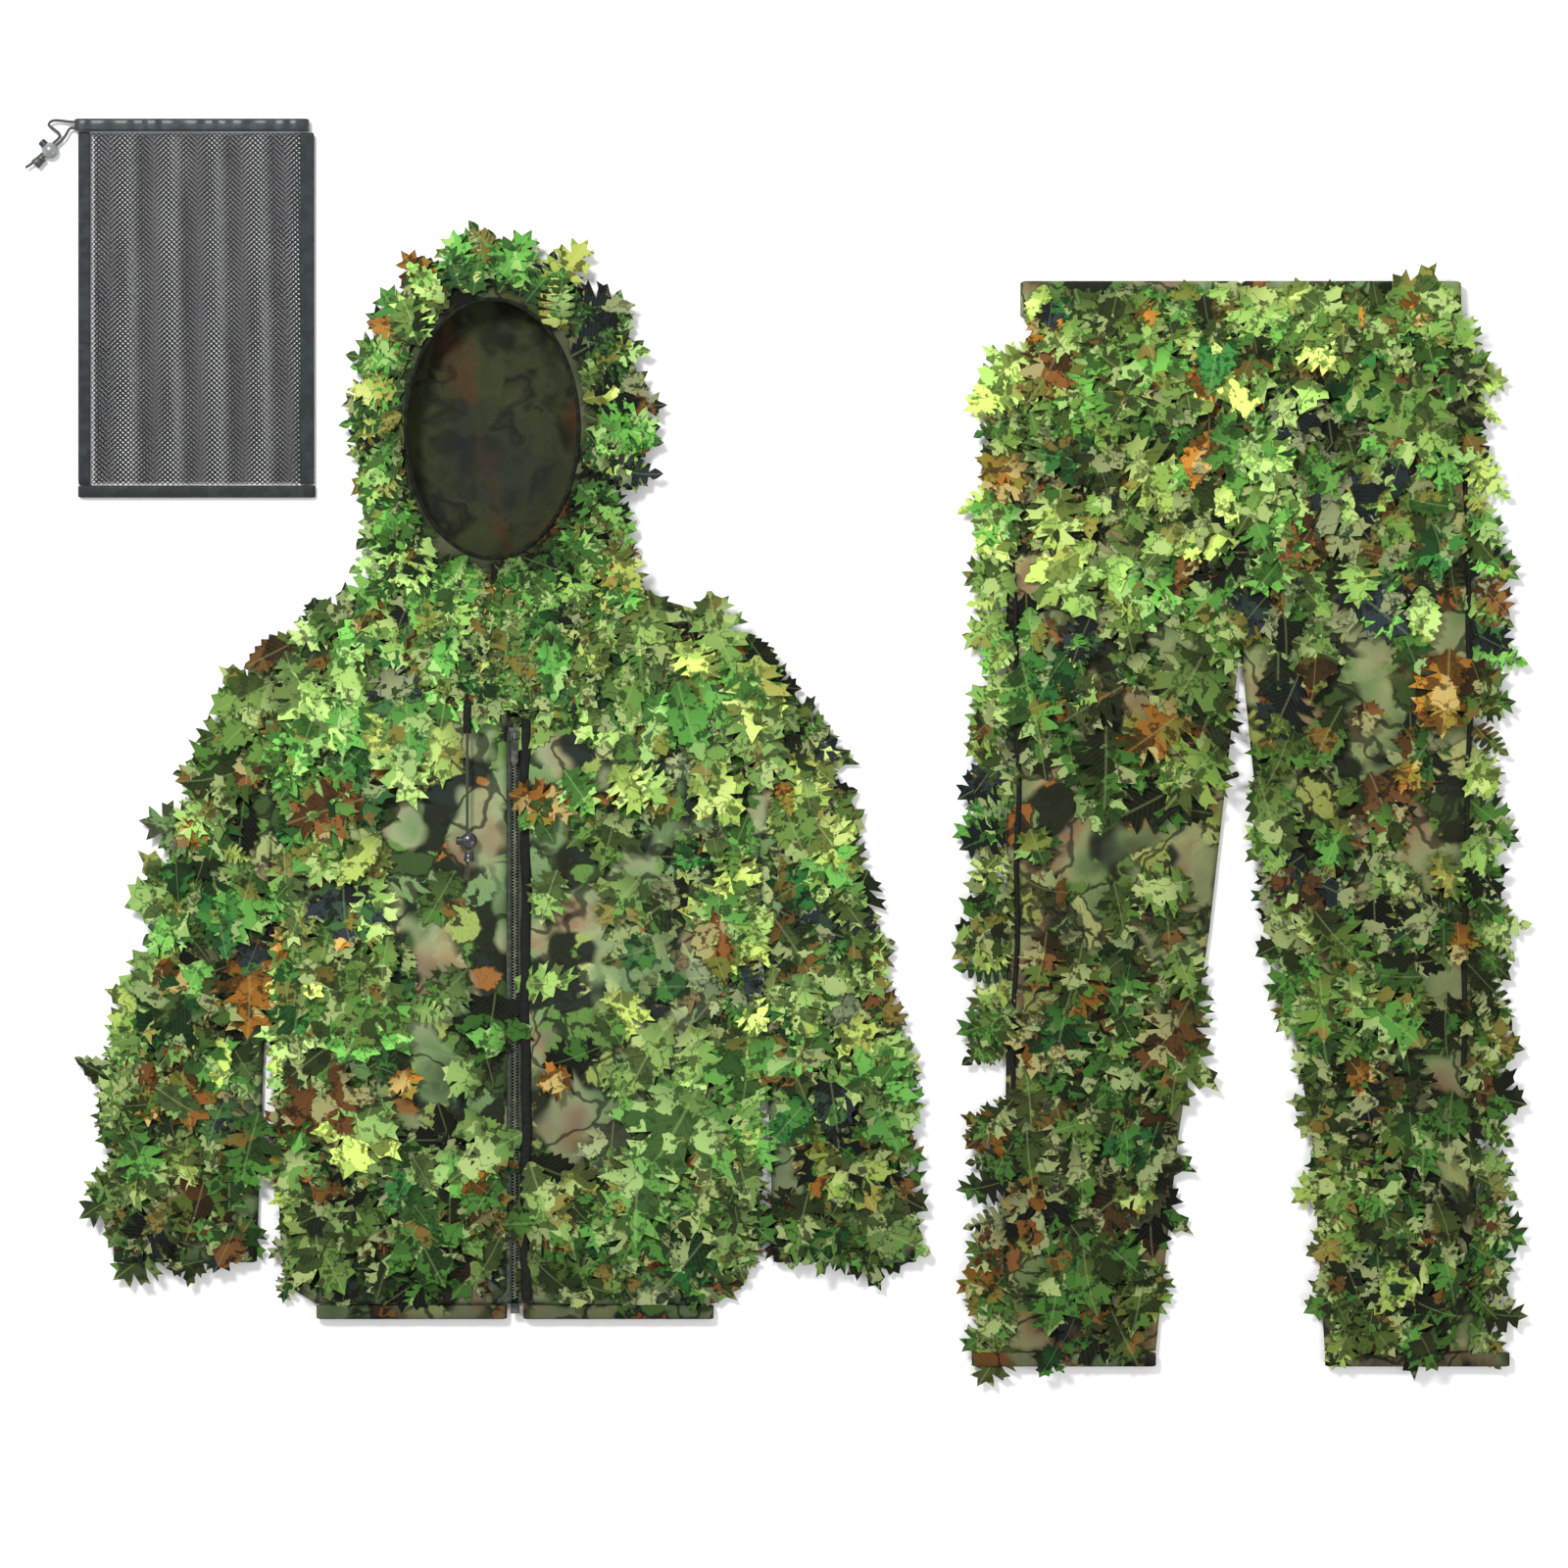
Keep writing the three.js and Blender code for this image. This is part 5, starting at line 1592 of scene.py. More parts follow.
@dataclass
class CordSet:
    """A drawcord with its ball lock, button, spring and bell end.

    Attributes:
        prefix: The start of the CAD nodes' names.
        body: The body that the cord and the bell ride on.
        finish: The cord's finish.
        ball: The lock's finish.
        angle: The way the cord runs through the lock, in radians.
    """

    prefix: str
    body: str
    finish: Finish
    ball: Finish
    angle: float
    diameter: float = 2.8 * MM
    ball_radius: float = 8.0 * MM
    ball_half_height: float = 5.5 * MM
    bell_mouth: float = 5.5 * MM
    bell_neck: float = 4.5 * MM
    bell_length: float = 11.0 * MM
    pieces: list[bpy.types.Object] = field(default_factory=list)

    def centre(self) -> Vector:
        """The lock's middle."""
        low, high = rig.box(f"{self.prefix}_cord_lock")
        return (low + high) / 2

    def fittings(self) -> None:
        """Makes the ball, the button and the bell."""
        middle = self.centre()
        ahead = Vector((math.cos(self.angle), math.sin(self.angle), 0))
        side = Vector((ahead.y, -ahead.x, 0))
        turns = np.linspace(-math.pi / 2, math.pi / 2, 25)
        profile = [
            (self.ball_half_height * math.sin(t), self.ball_radius * math.cos(t)
             - (0.5 * MM if abs(t) < 0.1 else 0.0))
            for t in turns
        ]
        ball = turned(f"{self.prefix}_lock_ball", profile, middle, (0, 0, 1), 48)
        dress(ball, self.ball, "fitting", f"{self.prefix}_lock", f"{self.prefix}_cord_lock")
        cap = 4.0 * MM
        start = 8.3 * MM
        button = turned(
            f"{self.prefix}_button",
            [
                (0.0, 0.0), (0.0, 2.6 * MM), (start - 1.6 * MM, 2.6 * MM), (start - 1.6 * MM, cap - 0.5 * MM),
                (start - 1.2 * MM, cap), (start + 0.6 * MM, cap), (start + 1.0 * MM, cap - 0.5 * MM),
                (start + 1.4 * MM, cap), (start + 3.4 * MM, cap), (start + 4.1 * MM, cap - 0.6 * MM),
                (start + 4.3 * MM, cap - 1.6 * MM), (start + 4.0 * MM, 0.0),
            ],
            middle,
            side,
            32,
        )
        dress(button, DARK_FITTING if self.ball is GREY_PLASTIC else BLACK_PLASTIC, "fitting",
              f"{self.prefix}_button", f"{self.prefix}_lock_button")
        low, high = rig.box(f"{self.prefix}_cord_end")
        bell_from = middle + ahead * 9.0 * MM
        bell_from.z = (low.z + high.z) / 2
        neck, mouth, length = self.bell_neck, self.bell_mouth, self.bell_length
        bell = turned(
            f"{self.prefix}_bell",
            [
                (0.0, 1.5 * MM), (0.0, neck - 0.9 * MM), (0.5 * MM, neck - 0.2 * MM), (1.4 * MM, neck),
                (3.0 * MM, neck), (3.3 * MM, neck - 0.4 * MM), (3.7 * MM, neck), (length * 0.6, neck + 0.3 * MM),
                (length * 0.85, mouth - 0.4 * MM), (length - 0.4 * MM, mouth), (length, mouth - 0.3 * MM),
                (length - 0.1 * MM, mouth - 1.0 * MM), (length - 3.0 * MM, 2.2 * MM), (length - 4.5 * MM, 1.5 * MM),
                (0.0, 1.5 * MM),
            ],
            bell_from,
            ahead,
            40,
        )
        dress(bell, BLACK_PLASTIC if self.ball is BLACK_PLASTIC else DARK_FITTING, "fitting", self.body,
              f"{self.prefix}_cord_end")
        dress_node(f"{self.prefix}_lock_spring", SPRING_STEEL)
        self.pieces = [ball, button, bell]

    def cord(self, name: str, node: str, points: Sequence[Sequence[float]]) -> None:
        """Lays one strand.

        Args:
            name: The piece's name.
            node: The CAD node that it stands for.
            points: Places on its centreline.
        """
        path = resampled(points, 40)
        strand = tube(name, path, self.diameter / 2, 12)
        dress(strand, self.finish, "cord", self.body, node)
        length = line_length(path)
        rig.cord(
            strand, exit=points[0], length=round(length, 4), diameter=self.diameter, far_end="fitting",
            stiffness="limp", lay="loose", path=[list(p) for p in path],
            with_pieces=self.pieces,
        )
        log.info("%s: %.1f mm long", name, length / MM)


# ------------------------------------------------------------------------------ jacket


# x, y, heading, length and kind of each broad leaf, by side
BROAD_LEAVES = {
    "right": (
        (-0.384, 0.068, -1.50, 0.104, LeafKind.SPEAR),
        (-0.465, 0.040, -2.00, 0.080, LeafKind.SPEAR),
        (-0.432, 0.072, -1.75, 0.086, LeafKind.OAK),
    ),
    "left": (
        (-0.100, -0.330, -2.05, 0.110, LeafKind.MAPLE),
        (-0.150, -0.385, -1.85, 0.100, LeafKind.OAK),
        (-0.120, 0.060, -1.35, 0.080, LeafKind.SPEAR),
    ),
}


@dataclass
class Jacket:
    """The hooded jacket: torso, sleeves, zip and hem."""

    zip_x: float = -0.27802
    hem_y: float = -0.55625
    right_fold: Fold = Fold("suit", "sleeve_right", 0, -0.51402, -1)
    left_fold: Fold = Fold("suit", "sleeve_left", 0, -0.04202, 1)
    panels: dict[str, Panel] = field(default_factory=dict)

    def local(self, x: float, y: float) -> tuple[float, float]:
        """A place given in millimetres from the zip and the hem."""
        return self.zip_x + x * MM, self.hem_y + y * MM

    def _sides(self) -> tuple[tuple[str, int, Fold], ...]:
        """Each side's name, its sign in x and its fold."""
        return (("right", -1, self.right_fold), ("left", 1, self.left_fold))

    def build(self) -> None:
        """Makes the cloth, then the zip."""
        self._backs()
        self._fronts()
        self._bands()
        self._zip()
        self._leaves()

    def _backs(self) -> None:
        """The back of the torso and of each sleeve."""
        back = Panel("jacket_back", ("jacket_back_panel",), 3.4 * MM, -1.9 * MM, trim=(6 * MM, 6 * MM),
                     crease=0.4 * MM, step=0.012, seed=3)
        dress(back.build(), BACK_CLOTH, "back_cloth", "suit", "jacket_back_panel")
        for side, fold in (("right", self.right_fold), ("left", self.left_fold)):
            node = f"sleeve_{side}_back"
            grow = (0.0, 0.013) if side == "right" else (0.013, 0.0)
            trim = (22 * MM, 0.0) if side == "right" else (0.0, 22 * MM)
            panel = Panel(f"sleeve_{side}_back_cloth", (node,), 4.1 * MM, -1.6 * MM, trim=trim,
                          crease=0.4 * MM, step=0.009, seed=5, widen=(-0.0922, 0.2, *grow))
            dress(panel.build(), BACK_CLOTH, "back_cloth", fold, node)

    def _fronts(self) -> None:
        """The front of each torso half and of each sleeve."""
        for side, sign, fold in self._sides():
            node = f"jacket_front_{side}"
            index = 0 if sign < 0 else 1
            down = [0.0, 0.0, 0.55, 0.25]
            down[index] = 0.9
            down[1 - index] = 0.42
            torso = Panel(node + "_cloth", (node,), 5.0 * MM, 13.0 * MM, down=tuple(down),
                          joined=(-0.11, 0.2, index), crease=2.3 * MM, seed=11 + sign, lean=0.1 * sign)
            self.panels[f"torso_{side}"] = torso
            dress(torso.build(), CLOTH, "cloth", "suit", node)
            node = f"sleeve_{side}_front"
            grow = (0.0, 0.013) if side == "right" else (0.013, 0.0)
            trim = (24 * MM, 0.0) if side == "right" else (0.0, 24 * MM)
            sleeve = Panel(node + "_cloth", (node,), 5.0 * MM, 13.4 * MM, trim=trim,
                           down=(0.95, 0.95, 0.3, 0.2), joined=(-0.11, 0.2, 1 - index), crease=2.4 * MM,
                           gather=("low",), reach=0.035, seed=21 + sign, lean=0.5 * sign,
                           widen=(-0.0922, 0.2, *grow))
            self.panels[f"sleeve_{side}"] = sleeve
            dress(sleeve.build(), CLOTH, "cloth", fold, node)

    def _bands(self) -> None:
        """The hem and the elastic cuffs."""
        for side in ("right", "left"):
            bind(f"hem_{side}", BAND, "suit", [f"jacket_hem_{side}"], (1.0 * MM, 14.0 * MM), 0.12, 0.031)
            cuff = f"sleeve_{side}_cuff"
            bind(f"cuff_{side}", BAND, f"sleeve_{side}", [cuff, f"{cuff}_elastic"], (0.6 * MM, 17.0 * MM), 0.2, 0.0085)

    def _zip(self) -> None:
        """Tapes, interlocking teeth, a placket fold and the metal pieces."""
        for side, sign in SIDES:
            low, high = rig.box(f"zip_tape_{side}")
            rows = 120
            columns = 5
            y = np.linspace(low.y, high.y, rows)
            x = np.linspace(low.x, high.x, columns)
            grid_x, grid_y = np.meshgrid(x, y)
            z = (low.z + high.z) / 2 + 0.25 * MM * np.sin(grid_y * 60) + 0.0 * grid_x
            points = np.stack([grid_x, grid_y, z], -1).reshape(-1, 3)
            tape = mesh_object(f"zip_tape_cloth_{side}", points, grid_faces(rows, columns), {"print": points[:, :2]})
            thicken(tape, 0.6 * MM)
            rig.sheet(tape, flat=(high.x - low.x, high.y - low.y), held="laid", rests_on=["jacket_front_right_cloth"])
            dress(tape, TAPE, "band", "suit", f"zip_tape_{side}")
            self._teeth(side, sign)
        for node in ("zip_bottom_box", "zip_slider", "zip_pull"):
            dress_node(node, ZIP_METAL)
        self._placket()

    def _teeth(self, side: str, sign: int) -> None:
        """One side's row of moulded teeth."""
        low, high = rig.box(f"zip_coil_{side}")
        pitch = 530 / 177 * MM
        start = low.y + (0.0 if sign < 0 else pitch / 2)
        count = int((high.y - low.y - pitch) / pitch)
        outer = 2.9 * MM
        head = 1.1 * MM
        half = 0.62 * MM
        neck = 0.42 * MM
        plan = np.array([(outer, -half), (0.7 * MM, -neck), (0.2 * MM, -head / 1.3), (-0.9 * MM, -head / 1.5),
                         (-0.9 * MM, head / 1.5), (0.2 * MM, head / 1.3), (0.7 * MM, neck), (outer, half)])
        corners = len(plan)
        z0, z1 = 10.2 * MM, 12.9 * MM
        top = plan * [0.86, 0.82]
        ring = np.arange(corners)
        ahead = (ring + 1) % corners
        walls = np.stack([ring, ahead, ahead + corners, ring + corners], 1)
        lid = np.array([[0, 1, 6, 7], [1, 2, 5, 6], [2, 3, 4, 5]])
        one = np.vstack([walls, walls + corners, lid + 2 * corners, lid[:, ::-1]])
        points, faces = [], []
        for i in range(count):
            y = start + pitch * (i + 0.5)
            place = lambda shape, z: np.column_stack(
                [self.zip_x + sign * shape[:, 0], y + shape[:, 1], np.full(corners, z)]
            )
            points.append(np.vstack([place(plan, z0), place(plan, z1 - 0.6 * MM), place(top, z1)]))
            faces.append(one + i * 3 * corners)
        teeth = mesh_object(f"zip_teeth_{side}", np.vstack(points), np.vstack(faces))
        outward(teeth)
        dress(teeth, COIL, "coil", "suit", f"zip_coil_{side}")

    def _placket(self) -> None:
        """The dark fold of cloth beside the zip."""
        low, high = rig.box("zip_tape_left")
        y = np.linspace(low.y + 0.004, high.y - 0.006, 90)
        x = self.zip_x + 10.5 * MM + 0.9 * MM * np.sin(y * 31) + 0.6 * MM * np.sin(y * 83 + 1)
        path = np.stack([x, y, np.full_like(y, 14.2 * MM) + 0.5 * MM * np.sin(y * 47)], 1)
        fold = tube("placket_fold", path, 5.0 * MM, 12, flat=0.45)
        fold.data.uv_layers["print"].uv.foreach_set("vector", self._plan_map(fold))
        dress(fold, PIPING, "band", "suit")

    @staticmethod
    def _plan_map(obj: bpy.types.Object) -> Array:
        """A map of each corner's place in plan."""
        mesh = obj.data
        corners = np.empty(len(mesh.loops), np.int32)
        mesh.loops.foreach_get("vertex_index", corners)
        points = np.empty(len(mesh.vertices) * 3, np.float32)
        mesh.vertices.foreach_get("co", points)
        return points.reshape(-1, 3)[corners][:, :2].astype(np.float32).ravel()

    def _leaves(self) -> None:
        """Leaves over the torso and the sleeves."""
        suit = {"right": Heap("torso_leaves_right"), "left": Heap("torso_leaves_left")}
        down = -math.pi / 2
        *layers, edge = garment_layers(
            JACKET_TINTS, JACKET_UNDER, (0.034, 0.046, 0.037, 0.05, 0.017),
            ((0.045, 0.078), (0.034, 0.062), (0.050, 0.088), (0.028, 0.046), (0.042, 0.064)), 0.75,
        )
        broad = Layer(0.05, (0.08, 0.1), (LeafKind.SPEAR,), ((0.6, srgb(84, 142, 62)), (0.4, srgb(100, 148, 72))),
                      7.5 * MM, 5 * MM, 0.1)
        for side, sign, fold in self._sides():
            sleeve = Heap(f"sleeve_leaves_{side}")
            seam = Heap(f"armhole_leaves_{side}")
            strewer = Strewer(31 + sign, {"suit": suit[side], f"sleeve_{side}": sleeve, None: seam}, fold)
            torso, arm = self.panels[f"torso_{side}"], self.panels[f"sleeve_{side}"]
            strewer.shade = self._shade
            out = lambda x, y, s=sign: down + s * 0.2
            strewer.clear = lambda x, y, at=fold.at: (np.abs(x - at) < 0.0055) & (y < -0.06)
            for layer, chest in zip(layers, (0.15, 0.18, 0.2, 0.25)):
                share = lambda x, y, s=sign, c=chest: self._density(x, y, s, c)
                strewer.cover(torso, layer, "suit", out, share, 0.0, (0.010, 0.03))
                strewer.cover(arm, layer, f"sleeve_{side}", self._arm_heading(arm, sign), None, 0.004, (0.032, 0.02))
            for x, y, turn, size, kind in BROAD_LEAVES[side]:
                strewer.leaf((x, y), turn, size, broad, torso.height, "suit", (kind,))
            outward_angle = math.pi + 0.72 if sign < 0 else -0.72
            strewer.fringe(arm, edge, f"sleeve_{side}", sign, (arm.low + 0.004, arm.high - 0.05), outward_angle, 0.019)
            inner = math.pi + 1.3 if sign < 0 else -1.3
            strewer.fringe(torso, edge, "suit", sign, (torso.low + 0.07, -0.13), inner, 0.022)
            dress(sleeve.build(), LEAF, "leaf", f"sleeve_{side}", f"sleeve_{side}_leaves")
            dress(seam.build(), LEAF, "leaf", fold)
            dress(suit[side].build(), LEAF, "leaf", "suit", f"jacket_leaves_{side}")

    def _shade(self, x: float, y: float) -> float:
        """How light the leaves are at a place: darker on the sleeves and towards the hem."""
        low = float(smooth((self.hem_y + 0.30 - y) / 0.20))
        side = float(smooth((abs(x - self.zip_x) - 0.21) / 0.03))
        return 1.25 * (1 - 0.55 * low) * (1 - 0.26 * side)

    def _density(self, x: float, y: float, sign: int, chest: float) -> float:
        """The share of leaves at a place on the torso.

        Args:
            x: The place.
            y: The place.
            sign: -1 on the right half, 1 on the left one.
            chest: The share at the middle of the chest, where the printed cloth shows.

        Returns:
            From 0 to 1. It is 0 by the zip and round the hood's drawcord.
        """
        cord_x, cord_y = self.local(-45, 500)
        if (x - self.zip_x) * sign < 0.017:
            return 0.0
        if abs(x - cord_x) < 0.02 and -0.1 < y - cord_y < 0.09:
            return 0.0
        middle = float(smooth((0.185 - abs(x - self.zip_x - 0.02)) / 0.06))
        level = float(smooth((y - self.hem_y - 0.13) / 0.08) * smooth((0.60 - (y - self.hem_y)) / 0.05))
        return 1 - (1 - chest) * middle * level

    def _arm_heading(self, arm: Panel, sign: int) -> Callable[[float, float], float]:
        """The heading of a sleeve's leaves: down, and outwards near its outer edge."""

        def heading(x: float, y: float) -> float:
            left, right = (float(v) for v in arm.sides(np.array(y)))
            share = (x - left) / max(right - left, 0.001)
            outer = share if sign > 0 else 1 - share
            return -math.pi / 2 + sign * (0.1 + 0.7 * outer**2)

        return heading


@dataclass
class Hood:
    """The hood laid flat round its face opening, with its veil and the cape at the collar."""

    jacket: Jacket
    fold: Fold = Fold("suit", "hood", 1, 0.1438, 1)
    crest: float = 43.0 * MM
    outer_z: float = 9.0 * MM

    def __post_init__(self) -> None:
        """Finds the opening and the outline."""
        low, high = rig.box("face_binding")
        self.centre = np.array([(low.x + high.x) / 2, (low.y + high.y) / 2])
        self.half = np.array([(high.x - low.x) / 2, (high.y - low.y) / 2])
        outline = Outline("hood_front")
        self.angles = np.linspace(0, 2 * math.pi, 240, endpoint=False)
        self.edge = np.array([outline.along(self.centre, a)[1] for a in self.angles])

    def rim(self, angle: Array | float) -> Array | float:
        """Distance from the middle to the opening."""
        a, b = self.half
        return a * b / np.sqrt((b * np.cos(angle)) ** 2 + (a * np.sin(angle)) ** 2)

    def place(self, reach: Array, angle: Array) -> tuple[Array, Array]:
        """Places at a distance and an angle from the middle."""
        return self.centre[0] + reach * np.cos(angle), self.centre[1] + reach * np.sin(angle)

    def outer(self, angle: Array | float) -> Array | float:
        """Distance from the middle to the outline."""
        turn = np.mod(angle, 2 * math.pi)
        return np.interp(turn, np.r_[self.angles, 2 * math.pi], np.r_[self.edge, self.edge[0]])

    def height(self, x: Array, y: Array) -> Array:
        """Height of the hood's cloth; inside the opening it stays at the rim's height."""
        dx, dy = x - self.centre[0], y - self.centre[1]
        angle = np.arctan2(dy, dx)
        reach = np.hypot(dx, dy)
        rim, outer = self.rim(angle), self.outer(angle)
        neck = smooth((0.198 - y) / 0.03) * 15 * MM
        share = np.clip((outer - 4 * MM - reach) / np.maximum(outer - rim, 0.004), 0, 1)
        lift = 1 - (1 - np.clip(share / 0.75, 0, 1)) ** 2
        low = smooth((self.centre[1] - self.half[1] + 0.01 - y) / 0.03)
        crest = self.crest - low * 14 * MM
        waves = 1.6 * MM * creases(x, y, 41) * smooth(share * 4) * smooth((1 - share) * 4)
        outer_z = self.outer_z + neck
        return outer_z + (crest - outer_z) * lift + waves

    def ground(self, x: Array, y: Array) -> Array:
        """What the hood's leaves lie on: it falls away more slowly than the cloth."""
        dx, dy = x - self.centre[0], y - self.centre[1]
        angle = np.arctan2(dy, dx)
        rim, outer = self.rim(angle), self.outer(angle)
        share = np.clip((np.hypot(dx, dy) - rim) / (outer - rim + 0.034), 0, 1)
        hover = self.crest - 1.5 * MM - 38 * MM * share**1.6
        return np.maximum(self.height(x, y), np.where(y > 0.2, hover, 0))

    def build(self) -> None:
        """Makes the hood's pieces."""
        self._back()
        self._ring()
        self._veil()
        self._binding()
        self._cape()
        self._leaves()

    def _back(self) -> None:
        """The back of the hood."""
        panel = Panel("hood_back_cloth", ("hood_back",), 3.4 * MM, -1.6 * MM, trim=(4 * MM, 4 * MM),
                      crease=0.4 * MM, step=0.01, seed=43)
        dress(panel.build(), BACK_CLOTH, "back_cloth", "hood", "hood_back")

    def _ring(self) -> None:
        """The hood's front: up from its edge to the opening, then down inside it."""
        rows_out, rows_in, columns = 16, 7, 200
        angle = np.linspace(0, 2 * math.pi, columns, endpoint=False)
        rim, outer = self.rim(angle), self.outer(angle) - 4 * MM
        points = []
        for share in np.linspace(0, 1, rows_out):
            reach = outer + (rim + 1.2 * MM - outer) * share
            x, y = self.place(reach, angle)
            points.append(np.stack([x, y, self.height(x, y)], 1))
        top = points[-1][:, 2]
        for share in np.linspace(0, 1, rows_in + 1)[1:]:
            reach = rim + 1.2 * MM + 7.5 * MM * math.sin(share * math.pi / 2)
            x, y = self.place(reach, angle)
            z = top + (9.5 * MM - top) * share
            points.append(np.stack([x, y, z], 1))
        rows = len(points)
        flat = np.concatenate(points)
        maps = {"print": flat[:, :2] + flat[:, 2:]}
        ring = mesh_object("hood_cloth", flat, grid_faces(rows, columns, wrap=True), maps)
        thicken(ring, CLOTH_THICK)
        low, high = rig.box("hood_front")
        size = (high.x - low.x + RISE_ALLOWANCE, high.y - low.y + RISE_ALLOWANCE)
        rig.sheet(ring, flat=size, held="laid", rests_on=["hood_back_cloth"], area=size[0] * size[1] * RING_SHARE)
        dress(ring, HOOD_CLOTH, "cloth", "hood", "hood_front")

    def _veil(self) -> None:
        """Sheer cloth across the opening, slack in the middle."""
        rings, columns = 34, 120
        angle = np.linspace(0, 2 * math.pi, columns, endpoint=False)
        points = []
        for share in np.linspace(1, 0.03, rings):
            reach = (self.rim(angle) + 6 * MM) * share
            x, y = self.place(reach, angle)
            dip = creases(x, y, 47, 0.7) * 0.9 * MM * smooth((1 - share) * 3)
            points.append(np.stack([x, y, 9.6 * MM + dip], 1))
        middle = points[-1].mean(0)[None]
        flat = np.concatenate([*points, middle])
        quads = grid_faces(rings, columns, wrap=True)
        near = np.arange(columns)
        fan = np.stack([(rings - 1) * columns + near, (rings - 1) * columns + (near + 1) % columns,
                        np.full(columns, len(flat) - 1)], 1)
        faces = np.vstack([quads[:, [0, 1, 2]], quads[:, [0, 2, 3]], fan])
        veil = mesh_object("veil", flat, faces, {"print": flat[:, :2]})
        thicken(veil, 0.5 * MM)
        size = (2 * self.half[0] + 0.012, 2 * self.half[1] + 0.012)
        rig.sheet(veil, flat=size, held="laid", rests_on=["hood_back_cloth"], area=size[0] * size[1] * ELLIPSE_SHARE)
        dress(veil, VEIL, "veil", "hood", "face_veil")

    def _binding(self) -> None:
        """The bound edge of the opening."""
        angle = np.linspace(0, 2 * math.pi, 220, endpoint=False)
        reach = self.rim(angle) + 0.4 * MM
        x, y = self.place(reach, angle)
        path = np.stack([x, y, self.height(x, y) + 0.4 * MM], 1)
        binding = tube("opening_binding", path, 1.9 * MM, 10, closed=True)
        dress(binding, BINDING, "band", "hood", "face_binding")

    def _cape(self) -> None:
        """The half-round cape below the neck, with its dark hem."""
        low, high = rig.box("collar_cape")
        centre = np.array([(low.x + high.x) / 2, high.y])
        radius = np.array([(high.x - low.x) / 2, high.y - low.y])
        rows, columns = 22, 72
        angle = np.linspace(math.pi, 2 * math.pi, columns)
        points = []
        for share in np.linspace(1, 0.02, rows):
            x = centre[0] + radius[0] * share * np.cos(angle)
            y = centre[1] + radius[1] * share * np.sin(angle)
            z = 21.5 * MM + 5.5 * MM * (1 - share**2) + 1.1 * MM * creases(x, y, 51) * smooth((1 - share) * 5)
            points.append(np.stack([x, y, z], 1))
        flat = np.concatenate(points)
        cape = mesh_object("cape_cloth", flat, grid_faces(rows, columns), {"print": flat[:, :2]})
        thicken(cape, CLOTH_THICK)
        size = (high.x - low.x, high.y - low.y)
        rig.sheet(cape, flat=size, held="laid", rests_on=["jacket_front_right_cloth", "jacket_front_left_cloth"],
                 area=size[0] * size[1] * ELLIPSE_SHARE)
        dress(cape, CLOTH, "cloth", "suit", "collar_cape")
        inner = np.linspace(math.pi + 0.04, 2 * math.pi - 0.04, 90)
        path = np.stack([centre[0] + (radius[0] - 1.5 * MM) * np.cos(inner),
                         centre[1] + (radius[1] - 1.5 * MM) * np.sin(inner), np.full(90, 22.4 * MM)], 1)
        hem = tube("cape_hem", path, 2.1 * MM, 10, flat=0.8)
        dress(hem, BINDING, "band", "suit")

    def _leaves(self) -> None:
        """Leaves round the hood, pointing outwards, and a few on the cape."""
        hood, base, cape = Heap("hood_leaf_ring"), Heap("neck_leaves"), Heap("cape_leaves")
        strewer = Strewer(61, {"hood": hood, None: base, "suit": cape}, self.fold)
        kinds = (LeafKind.OAK, LeafKind.FERN, LeafKind.SPEAR, LeafKind.OAK)
        top = lambda x, y: np.minimum(self.ground(x, y) + 9 * MM, 54.0 * MM)
        strewer.ceiling = top
        under = Layer(0.19, (0.046, 0.062), kinds, JACKET_UNDER, 0.6 * MM, 1.6 * MM, 0.45)
        over = Layer(0.25, (0.050, 0.070), kinds, HOOD_TINTS, 1.4 * MM, 4.2 * MM, 0.45)
        spikes = Layer(0.25, (0.052, 0.066), (LeafKind.OAK, LeafKind.FERN), HOOD_TINTS, 1.4 * MM, 4.2 * MM, 0.3)
        rng = strewer.rng
        for layer, shares in ((under, (0.82, 0.5)), (over, (0.85, 0.55)), (spikes, (0.26,))):
            for share in shares:
                for angle in np.arange(0, 2 * math.pi, layer.pitch):
                    turn = angle + rng.uniform(-0.06, 0.06)
                    rim, outer = float(self.rim(turn)), float(self.outer(turn))
                    length = rng.uniform(*layer.length)
                    room = outer - rim
                    reach = rim + room * (1 - share) * 0.9 + 0.002
                    if math.sin(turn) < -0.93 and reach > rim + 0.03:
                        continue
                    at = (self.centre[0] + reach * math.cos(turn), self.centre[1] + reach * math.sin(turn))
                    bias = -0.35 * math.cos(turn)
                    heading = turn + bias + rng.normal(0, layer.spread)
                    if abs((heading - turn + math.pi) % (2 * math.pi) - math.pi) > 1.1:
                        heading = turn + bias
                    strewer.leaf(at, heading, min(length, room + 0.028), layer, self.ground, "hood")
        self._neck_leaves(strewer, over)
        self._cape_leaves(strewer)
        dress(hood.build(), LEAF, "leaf", "hood", "hood_leaves")
        dress(base.build(), LEAF, "leaf", self.fold)
        dress(cape.build(), LEAF, "leaf", "suit")

    def _neck_leaves(self, strewer: Strewer, layer: Layer) -> None:
        """Leaves that hang from below the opening over the cape."""
        rng = strewer.rng
        for y in (0.150, 0.165, 0.178):
            for x in np.arange(-0.105, 0.106, 0.019):
                at = (self.centre[0] + x + rng.uniform(-0.006, 0.006), y + rng.uniform(-0.005, 0.005))
                across, along = (np.array(at) - self.centre) / self.half
                if math.hypot(across, along) < 1.03:
                    continue
                heading = -math.pi / 2 + rng.normal(0, 0.5) + x * 4
                strewer.leaf(at, heading, rng.uniform(0.034, 0.056), layer, self.height, "hood")

